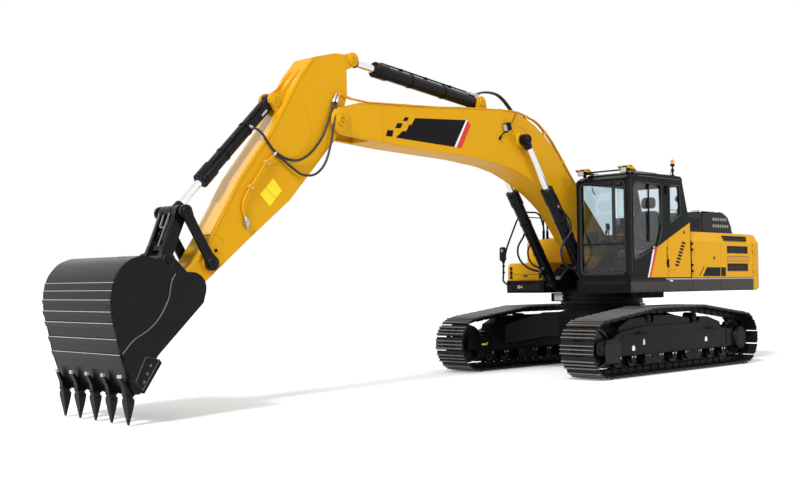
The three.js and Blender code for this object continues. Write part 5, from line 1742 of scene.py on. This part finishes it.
def buildBucket():
    look = bucketLook
    half, wall = look["half"], look["wall"]
    outer = smoothOutline(look["shell"])
    inner = offsetLine(outer, wall)
    piece = Piece("bucket_shell", "bucket")
    piece.plate(outer + inner[::-1], -half + 4, half - 4, "shell", 3, corner=50)
    for low, high, proud in look["strips"]:
        (xa, za), na = shellPoint(low)
        (xb, zb), nb = shellPoint(high)
        outline = [(xa - na.x * 4, za - na.y * 4), (xa + na.x * proud * 0.5, za + na.y * proud * 0.5),
                   (xb + nb.x * proud, zb + nb.y * proud), (xb - nb.x * 4, zb - nb.y * 4)]
        piece.plate(outline, -half, half, "shell", 2)
        # light line along each strip's edge: a painted highlight
        piece.tube([at(xb + nb.x * (proud - 2), -half, zb + nb.y * (proud - 2)),
                    at(xb + nb.x * (proud - 2), half, zb + nb.y * (proud - 2))], 4.2, "edgeHighlight", 6)
    for y in (340, 430):
        piece.lathe([(-2, 12), (4, 12), (4, 0)], (9500, y, 1802), (0.1, 0, 1), "label", 14)
    piece.finish("bucket", slot="black_paint")
    piece = Piece("bucket_sides", "bucket")
    sideOutline = outer[:-1] + [(8720, 1500)] + look["mouth"]
    for side in (1, -1):
        piece.plate(sideOutline, side * (half - look["sideThick"]), side * half, "gloss", 3, corner=50)
        weld = smoothOutline(look["weld"], 4)
        lobe = smoothOutline(look["lobe"], 4)
        outline = weld + [(9606, 445), (9501, 371), (9288, 729)] + lobe[::-1]
        cutterEdge = look["cutter"] + look["cutter"][:1]
        piece.tube([at(x, side * (half + 17), z) for x, z in cutterEdge], 4, "weldGrey", 6)
        piece.plate(outline, side * half, side * (half + 16), "gloss", 5, 2, corner=50)
        piece.tube([at(x, side * (half + 8), z) for x, z in weld], 9, "weldGrey", 8)
        piece.plate(look["cutter"], side * (half + 14), side * (half + 17.5), "gloss", 1)
        a, b = Vector((9420, 640)), Vector((9500, 470))
        for i in range(3):
            p = a + (b - a) * i / 2 - Vector((40, 10))
            bolt("bucket", (p.x, side * (half + 16), p.y), (0, side, 0), 0.95, "weldGrey")
        piece.plate([(9268, 690), (9478, 372), (9500, 345), (9455, 335), (9240, 650)], side * (half - 16),
                    side * (half + 17), "gloss", 6)
    piece.finish(slot="black_paint")
    piece = Piece("bucket_ears", "bucket")
    for side in (1, -1):
        outline = (arc(pins["bucket"], 118, 150, 262, 12) + [(8700, 1425), (9000, 1560), (9300, 1730),
                                                             (9060, 1760)]
                   + arc(pins["linkEnd"], 100, 30, 150, 10))
        piece.plate(outline, side * 197, side * 237, "gloss", 6, 2, corner=50)
        piece.lathe([(0, 104), (8, 104), (8, 0)], pinAt("linkEnd", side * 237), (0, side, 0), "gloss", 32)
        piece.lathe([(0, 110), (8, 110), (8, 0)], pinAt("bucket", side * 237), (0, side, 0), "gloss", 32)
    piece.box((8980, -197, 1560), (9010, 197, 1640), "gloss", 4)
    piece.finish(slot="black_paint")
    piece = Piece("bucket_lip", "bucket")
    piece.plate([(9490, 330), (9560, 330), (9612, 430), (9600, 470), (9540, 470)], -half + 2, half - 2,
                "gloss", 4)
    for i in range(look["toothCount"] - 1):
        y = -look["toothPitch"] * 1.5 + i * look["toothPitch"]
        piece.plate([(9488, 322), (9548, 322), (9560, 372), (9500, 372)], y - 95, y + 95, "gloss", 6)
    piece.finish(slot="black_paint")
    piece = Piece("bucket_teeth", "bucket")
    for i in range(look["toothCount"]):
        y = (i - (look["toothCount"] - 1) / 2) * look["toothPitch"]
        y = max(-half + 64, min(half - 64, y))

        def section(x0, x1, z0, z1, w):
            return [at(x0, y - w, z0), at(x0, y + w, z0), at(x1, y + w, z1), at(x1, y - w, z1)]

        piece.hull([section(9692, 9716, 528, 536, 20), section(9640, 9692, 470, 480, 26),
                    section(9585, 9658, 395, 402, 34),
                    section(9560, 9644, 300, 308, 40), section(9546, 9630, 246, 252, 38)], "gloss", 6, 2,
                   corner=20)
        piece.hull([section(9548, 9646, 282, 288, 48), section(9552, 9644, 240, 246, 50),
                    section(9566, 9628, 160, 166, 42),
                    section(9582, 9612, 70, 74, 26), section(9590, 9602, 6, 8, 12)], "toothSteel", 6, 2,
                   corner=20)
        piece.hull([section(9546, 9650, 330, 338, 44), section(9546, 9650, 312, 320, 46)], "black", 5)
        for side in (1, -1):
            piece.lathe([(0, 17), (9, 17), (12, 11), (12, 0)], (9600, y + side * 48, 264), (0, side, 0),
                        "black", 12)
        # light box on each adapter's top: a painted highlight
        piece.box((9690, y - 24, 512), (9718, y + 24, 548), "edgeHighlight", 6)
    piece.finish(slot="track_steel")


buildBucket()
print("bucket built")

# undercarriage: wheels, rollers, covers, frame details
under = {
    "gauge": 1295, "wheelX": 2070, "wheelZ": 460, "rollers": 9, "rollerSpan": (-1560, 1600), "rollerZ": 230,
    "teeth": 21, "frameFace": 150,
}


def rollerPlaces():
    first, last = under["rollerSpan"]
    gaps = under["rollers"] - 1
    return [first + (last - first) * i / gaps for i in range(gaps + 1)]


def buildWheels():
    for name, side in (("left", 1), ("right", -1)):
        middle = side * under["gauge"]
        wheelX, wheelZ = under["wheelX"], under["wheelZ"]
        piece = Piece(f"idler_wheel_{name}", "undercarriage")
        piece.lathe([(-98, 0), (-98, 90), (-60, 110), (-40, 120), (-40, 262), (-78, 272), (-78, 306),
                     (-44, 308), (-40, 316),
                     (40, 316), (44, 308), (78, 306), (78, 272), (40, 262), (40, 120), (60, 110), (98, 90),
                     (98, 0)],
                    (wheelX, middle, wheelZ), (0, 1, 0), "steel", 40)
        for s in (1, -1):
            piece.lathe([(92, 70), (150, 70), (158, 60), (158, 0)], (wheelX, middle, wheelZ), (0, s, 0),
                        "frameBlack", 24)
        piece.finish(f"idler_{name}", slot="track_steel")
        piece = Piece(f"drive_wheel_{name}", "undercarriage")
        ring = []
        for i in range(under["teeth"]):
            base = 360 / under["teeth"] * i
            for turn, radius in ((-6.2, 300), (-3.4, 342), (-1.6, 350), (1.6, 350), (3.4, 342), (6.2, 300)):
                a = math.radians(base + turn)
                ring.append((-wheelX + radius * math.cos(a), wheelZ + radius * math.sin(a)))
        piece.plate(ring, middle - 32, middle + 32, "steel", 4)
        piece.lathe([(-150, 0), (-150, 232), (-60, 240), (-60, 262), (-32, 268), (32, 268), (60, 262),
                     (60, 240), (96, 232),
                     (104, 214), (150, 208), (188, 204), (204, 190), (206, 150), (212, 146), (212, 0)],
                    (-wheelX, middle, wheelZ), (0, side, 0), "frameBlack", 40)
        piece.finish(f"final_drive_{name}", slot="black_paint")
        boltRing("undercarriage", (-wheelX, middle + side * 60, wheelZ), (0, side, 0), 250, 20, 0.9)
        boltRing("undercarriage", (-wheelX, middle + side * 205, wheelZ), (0, side, 0), 176, 12, 0.7)
        piece = Piece(f"roller_set_{name}", "undercarriage")
        for x in rollerPlaces():
            piece.lathe([(-96, 0), (-96, 70), (-92, 86), (-56, 88), (-52, 74), (52, 74), (56, 88), (92, 86),
                         (96, 70), (96, 0)],
                        (x, middle, under["rollerZ"]), (0, 1, 0), "steel", 24)
            for s in (1, -1):
                piece.plate([(x - 62, 232), (x - 30, 196), (x + 30, 196), (x + 62, 232), (x + 70, 316),
                             (x - 70, 316)], middle + s * 104, middle + s * 140,
                            "frameBlack", 6)
                bolt("undercarriage", (x - 40, middle + s * 140, 292), (0, s, 0), 0.9, "bright")
                bolt("undercarriage", (x + 40, middle + s * 140, 292), (0, s, 0), 0.9, "bright")
        for x0, x1 in ((-760, -340), (480, 900)):
            for s in (1, -1):
                piece.plate([(x0, 214), (x0 + 40, 170), (x1 - 40, 170), (x1, 214), (x1, 316), (x0, 316)],
                            middle + s * 118, middle + s * 146,
                            "frameBlack", 8, 2)
                for i in range(4):
                    bolt("undercarriage", (x0 + 60 + i * 100, middle + s * 146, 286), (0, s, 0), 1.0)
        piece.finish(f"rollers_{name}", slot="track_steel")


def buildTrackFrames():
    for name, side in (("left", 1), ("right", -1)):
        middle = side * under["gauge"]
        piece = Piece(f"frame_fittings_{name}", "undercarriage")
        for s in (1, -1):
            face = middle + s * under["frameFace"]
            outline = [(1600, 262), (1640, 226), (1960, 226), (1990, 250), (2010, 420), (1990, 560),
                       (1700, 590), (1600, 560)]
            piece.plate(outline, face, face + s * 14, "gloss", 8, 2)
            for i in range(5):
                bolt("undercarriage", (1630 + i * 84, face + s * 14, 540), (0, s, 0), 0.8)
            piece.tube([at(x, face + s * 2, z) for x, z in ((-1540, 332), (1590, 332))], 10, "frameBlack", 8)
            piece.tube([at(x, face + s * 2, z) for x, z in ((-1290, 640), (1300, 640))], 7, "frameBlack", 8)
            piece.plate([(-1560, 640), (-1540, 600), (1480, 600), (1500, 640)], face, face + s * 10,
                        "frameBlack", 4)
            piece.plate([(-1860, 360), (-1660, 340), (-1640, 610), (-1860, 600)], face, face + s * 8,
                        "frameBlack", 4)
            for x in rollerPlaces():
                piece.box((x - 78, face - s * 2, 318), (x + 78, face + s * 6, 352), "frameBlack", 4)
        for x in (700, -700):
            for s in (1, -1):
                piece.lathe([(94, 40), (104, 40), (108, 34), (108, 0)], (x, middle, 874), (0, s, 0),
                            "frameBlack", 20)
            piece.box((x - 80, middle - 60, 690), (x + 80, middle + 60, 780), "frameBlack", 8)
        face = middle + side * under["frameFace"]
        for x0, x1, z0, z1 in ((1180, 1260, 392, 470), (-1010, -930, 440, 520)):
            piece.plate([(x0, z0), (x1, z0), (x1, z0 + (z1 - z0) * 0.6), (x0 + 60, z1), (x0 + 24, z1),
                         (x0, z0 + 50)], face, face + side * 1.5, "white", 0)
        piece.plate(rect(900, 950, 470, 560), face, face + side * 1.5, "white", 0)
        piece.plate(rect(900, 950, 540, 562), face, face + side * 1.8, "amber", 0)
        inner = middle - side * 164
        piece.block((1800, inner - side * 1, 440), (150, 3, 26), leaning(1, 0.06), "noteYellow", 0)
        piece.block((1740, inner - side * 1, 444), (44, 3, 44), leaning(1, 0.06), "noteYellow", 0)
        piece.plate([(-560, 640), (-500, 850), (-100, 905), (560, 905), (600, 815), (800, 815), (840, 905),
                     (1250, 885), (1540, 770),
                     (1600, 640)], middle - 108, middle + 108, "frameBlack", 12, 2)
        piece.plate([(-1560, 640), (-1500, 760), (-1100, 860), (-850, 860), (-800, 790), (-600, 790),
                     (-550, 640)], middle - 108, middle + 108, "frameBlack", 12, 2)
        piece.box((-1640, middle - 30, 130), (1680, middle + 30, 330), "frameBlack", 6)
        piece.box((1590, middle - 44, 150), (1880, middle + 44, 330), "frameBlack", 10, 2)
        for x in range(-420, 1300, 170):
            bolt("undercarriage", (x, middle + side * 108, 700), (0, side, 0), 1.0)
        for x in (-1150, 1000):
            piece.tube(bentPath([(x - 120, face + side * 4, 650), (x - 120, face + side * 60, 668),
                                 (x + 120, face + side * 60, 668),
                                 (x + 120, face + side * 4, 650)], 30), 12, "frameBlack", 8)
        piece.finish(slot="black_paint")
    piece = Piece("car_body_fittings", "undercarriage")
    for z, r0, r1 in ((1078, 700, 742), (1050, 690, 716)):
        piece.lathe([(0, r0 - 60), (0, r1), (14, r1), (14, r0 - 60)], (0, 0, z - 14), (0, 0, 1), "frameBlack",
                    64)
    piece.finish(slot="black_paint")
    boltRing("undercarriage", (0, 0, 1078), (0, 0, 1), 722, 44, 1.1)
    piece = Piece("slewing_ring_bearing", "upper")
    piece.lathe([(1100, 500), (1100, 706), (1150, 706), (1154, 694), (1176, 694), (1180, 712), (1236, 712),
                 (1240, 690), (1286, 690),
                 (1286, 500)], (0, 0, 0), (0, 0, 1), "frameBlack", 72)
    piece.finish("slewing_ring", slot="black_paint")
    boltRing("upper", (0, 0, 1286), (0, 0, -1), 660, 36, 0.1)
    piece = Piece("slewing_bracket", "upper")
    piece.box((640, -540, 1140), (722, -250, 1284), "frameBlack", 10, 2)
    piece.box((722, -470, 1160), (724, -300, 1262), "white", 0)
    piece.box((723.5, -460, 1236), (725, -310, 1258), "amber", 0)
    piece.finish(slot="black_paint")


buildWheels()
buildTrackFrames()
print("undercarriage built")

# deck in front and on the right: tool box, tanks, rails, mirror, boom foot
deck = {"rail": -1350, "railRadius": 16}


def buildDeck():
    piece = Piece("tool_box_cover", "upper")
    piece.plate([(425, 1504), (968, 1504), (968, 1725), (955, 1765), (925, 1792), (880, 1808), (425, 1808)],
                -1290, -540,
                "yellow", 12, 3)
    piece.finish("tool_box", slot="yellow_paint")
    piece = Piece("tool_box_fittings", "upper")
    piece.tube([at(969, -1280, 1606), at(969, -606, 1606)], 3, "label", 6)
    piece.tube([at(969, -606, 1512), at(969, -606, 1760), at(930, -606, 1796), at(880, -606, 1810),
                at(430, -606, 1810)], 3, "label", 6)
    for y in (-1214, -575):
        piece.tube([at(976, y, 1545), at(976, y, 1740)], 9, "black", 8)
        for z in (1560, 1640, 1720):
            piece.box((966, y - 24, z - 22), (982, y + 24, z + 22), "black", 5)
    piece.box((966, -930, 1568), (980, -860, 1592), "black", 5)
    piece.finish(slot="black_paint")
    piece = Piece("fuel_tank_shell", "upper")
    piece.plate([(-399, 1504), (418, 1504), (418, 2150), (400, 2200), (340, 2234), (-399, 2234)], -1300, -540,
                "yellow", 14, 3)
    piece.finish("fuel_tank", slot="yellow_paint")
    piece = Piece("hydraulic_tank_shell", "upper")
    piece.plate(rect(-1404, -405, 1504, 2289), -1480, -540, "yellow", 16, 3)
    piece.finish("hydraulic_tank", slot="yellow_paint")
    piece = Piece("tank_fittings", "upper")
    piece.lathe([(2230, 62), (2262, 62), (2270, 54), (2270, 0)], (120, -760, 0), (0, 0, 1), "black", 28)
    piece.lathe([(2285, 80), (2330, 80), (2340, 70), (2340, 0)], (-1150, -1180, 0), (0, 0, 1), "yellow", 28)
    piece.lathe([(2285, 46), (2310, 46), (2316, 38), (2316, 0)], (-700, -900, 0), (0, 0, 1), "black", 24)
    for x, height in ((330, 2612), (224, 2496)):
        piece.tube([at(x, -990, 2210), at(x, -990, height)], 15, "black", 12)
        piece.lathe([(0, 24), (150, 24), (156, 17), (156, 0)], (x, -990, 2232), (0, 0, 1), "black", 16)
    piece.tube(bentPath([(330, -990, 2560), (330, -960, 2580), (330, -760, 2586), (330, -740, 2440),
                         (330, -700, 2240)], 40), 10,
               "black", 8)
    piece.box((-1300, -1484, 1640), (-900, -1480.5, 2100), "label", 3)
    piece.box((-360, -1304, 1640), (380, -1300.5, 1656), "castYellow", 1)
    piece.box((430, -1294, 1640), (960, -1290.5, 1650), "label", 1)
    for x in (-330, 350):
        piece.box((x - 40, -1306, 1700), (x + 40, -1300, 1760), "black", 6)
    piece.finish(slot="black_paint")
    for x in range(-1340, -400, 130):
        bolt("upper", (x, -1450, 2290), (0, 0, 1), 0.8)
    rail = deck["rail"]
    piece = Piece("rail_pipes", "upper")
    path = [(1011, -1255, 1432), (1042, -1262, 1444), (1042, rail, 1500), (1022, rail, 1600),
            (1016, rail, 1860), (973, rail, 1945),
            (912, rail, 2109), (623, rail, 2594), (503, rail, 2680), (382, rail, 2732), (80, rail, 2740),
            (0, rail + 25, 2690),
            (-15, rail + 100, 2450), (-15, rail + 100, 2230)]
    piece.tube(bentPath(path, 80, 5), deck["railRadius"], "black", 12)
    piece.tube(bentPath([(623, rail, 2594), (560, rail + 40, 2640), (330, rail + 340, 2610),
                         (330, -990, 2600)], 60), 10, "black", 10)
    for z in (1640, 1750):
        piece.box((1000, rail - 22, z), (1032, rail + 22, z + 26), "black", 4)
    piece.finish("handrail", slot="black_paint")
    piece = Piece("mirror", "upper")
    outline = rounded((-1425, 1846), (-1300, 2096), 44, 5)
    piece.plate(outline, 1000, 1034, "plastic", 10, 2, corner=50, plane="yz")
    piece.plate([(y * 0.86 - 190.75, z * 0.9 + 197.1) for y, z in outline], 994, 1001, "lens", 2, corner=50,
                plane="yz")
    piece.lathe([(0, 30), (14, 30), (18, 24), (18, 0)], (1034, -1362, 2030), (1, 0, 0), "trim", 20)
    piece.block((1018, -1350, 1850), (40, 40, 70), leaning(1, 0), "black", 8)
    piece.finish(slot="dark_plastic")
    piece = Piece("deck_fittings", "upper")
    piece.box((1002, -1270, 1330), (1014, -560, 1440), "gloss", 6)
    piece.box((1010, -1180, 1360), (1018, -1090, 1420), "black", 6)
    piece.lathe([(0, 30), (8, 30), (12, 24), (12, 0)], (1014, -1010, 1392), (1, 0, 0), "lens", 20)
    piece.box((1012, -980, 1376), (1017, -930, 1408), "amber", 3)
    piece.box((980, -1284, 1484), (1016, -560, 1504), "gloss", 5)
    for x0, x1, y0, y1 in ((440, 990, -530, -330), (-380, 400, -1470, -1320)):
        piece.box((x0, y0, 1500), (x1, y1, 1508), "grip", 2)
    piece.box((-1380, -1200, 2290), (-420, -1060, 2300), "grip", 2)
    piece.box((1296, 560, 1430), (1336, 1420, 1480), "gloss", 8)
    for y in range(600, 1400, 200):
        bolt("upper", (1332, y, 1350), (1, 0, 0), 0.7)
    piece.finish(slot="black_paint")


def buildBoomFoot():
    piece = Piece("boom_foot_bracket", "upper")
    for side in (1, -1):
        piece.plate([(-190, 1503)] + [(x, z) for x,
                                      z in arc(pins["boomFoot"], 168, 165, 10, 14)] + [(700, 1640),
                                              (830, 1503)], side * 262, side * 292, "gloss", 5)
        for x, z, r in ((330, 1640, 34), (480, 1600, 28), (150, 1640, 30)):
            piece.lathe([(-1, r), (1.6, r), (1.6, 0)], (x, side * 292, z), (0, side, 0), "label", 20)
        pinCap("upper", pins["boomFoot"], side * 292, side, 100, 20, "gloss", 4)
    piece.finish(slot="black_paint")
    piece = Piece("valve_lines", "upper")
    for y in (300, 342, 384, 426, 450):
        piece.lathe([(1500, 20), (1560, 20), (1566, 15), (1600, 15), (1600, 0)], (560, y - 4, 0), (0, 0, 1),
                    "bright", 12)
    piece.finish(slot="rod_chrome")


def buildRamHoses():
    for side, tag in ((1, "left"), (-1, "right")):
        hose(f"boom_ram_hose_{tag}", "boom_barrels",
             [(1178, side * 400, 1650), (1290, side * 406, 1664), (1420, side * 414, 1692),
              (1560, side * 424, 1748),
              (1672, side * 434, 1838), (1722, side * 442, 1950), (1700, side * 452, 2060),
              (1620, side * 464, 2150),
              (1530, side * 474, 2235), (1484, side * 478, 2340), (1512, side * 474, 2455),
              (1610, side * 458, 2560), (1745, side * 436, 2660)],
             34)
        hose(f"boom_ram_short_hose_{tag}", "boom_barrels",
             [(1200, side * 330, 1700), (1310, side * 330, 1716), (1450, side * 336, 1760),
              (1545, side * 345, 1850),
              (1575, side * 350, 1960), (1545, side * 352, 2050), (1490, side * 350, 2106),
              (1445, side * 348, 2130)], 30)
    piece = Piece("boom_ram_lines", "boom_barrels")
    for side in (1, -1):
        piece.tube(bentPath([(1890, side * 424, 2800), (1860, side * 436, 2750), (1770, side * 436, 2680)],
                            30), 13, "gloss", 8)
        piece.lathe([(0, 19), (34, 19), (38, 14), (60, 14), (60, 0)], (1785, side * 436, 2692),
                    (-0.7, 0, -0.7), "bright", 12)
        piece.block((1130, side * 366, 1650), (110, 130, 90), leaning(0.59, 0.81), "gloss", 8, 2)
        piece.lathe([(0, 20), (46, 20), (50, 16), (74, 16), (74, 0)], (1165, side * 400, 1648),
                    (0.99, 0, 0.1), "bright", 12)
        piece.lathe([(0, 20), (46, 20), (50, 16), (74, 16), (74, 0)], (1180, side * 330, 1698),
                    (0.99, 0, 0.1), "bright", 12)
    piece.finish(slot="black_paint")
    piece = Piece("valve_pipes", "upper")
    for i in range(5):
        y = -335 - i * 40
        piece.tube(bentPath([(640 + i * 8, y, 1500), (640 + i * 8, y, 1640), (560, y, 1720),
                             (470, y * 0.97, 1722)], 50), 13, "gloss", 8)
        piece.lathe([(0, 20), (40, 20), (44, 16), (66, 16), (66, 0)], (640 + i * 8, y, 1510), (0, 0, 1),
                    "bright", 12)
    piece.box((430, -510, 1660), (500, -312, 1780), "gloss", 10, 2)
    piece.finish(slot="black_paint")


buildDeck()
buildBoomFoot()
buildRamHoses()
print("deck built, hoses", hoseLengths)


# bolts of every body, one mesh for each body and finish
def setBolts():
    for (body, look), places in boltPlaces.items():
        base = bareObject("boltBase", [place for place, facing, size in places])
        facing = base.data.attributes.new("facing", "FLOAT_VECTOR", "POINT")
        facing.data.foreach_set("vector", [c for place, way, size in places for c in way])
        size = base.data.attributes.new("size", "FLOAT", "POINT")
        size.data.foreach_set("value", [s for place, way, s in places])
        mesh = grow(base, boltTree, HeadRadius=0.014, HeadHeight=0.022, Sides=6, Finish=finish[look])
        bpy.data.objects.remove(base)
        joinMeshes(f"bolts_{body}_{look}", body, [mesh])


setBolts()
print("bolts set")
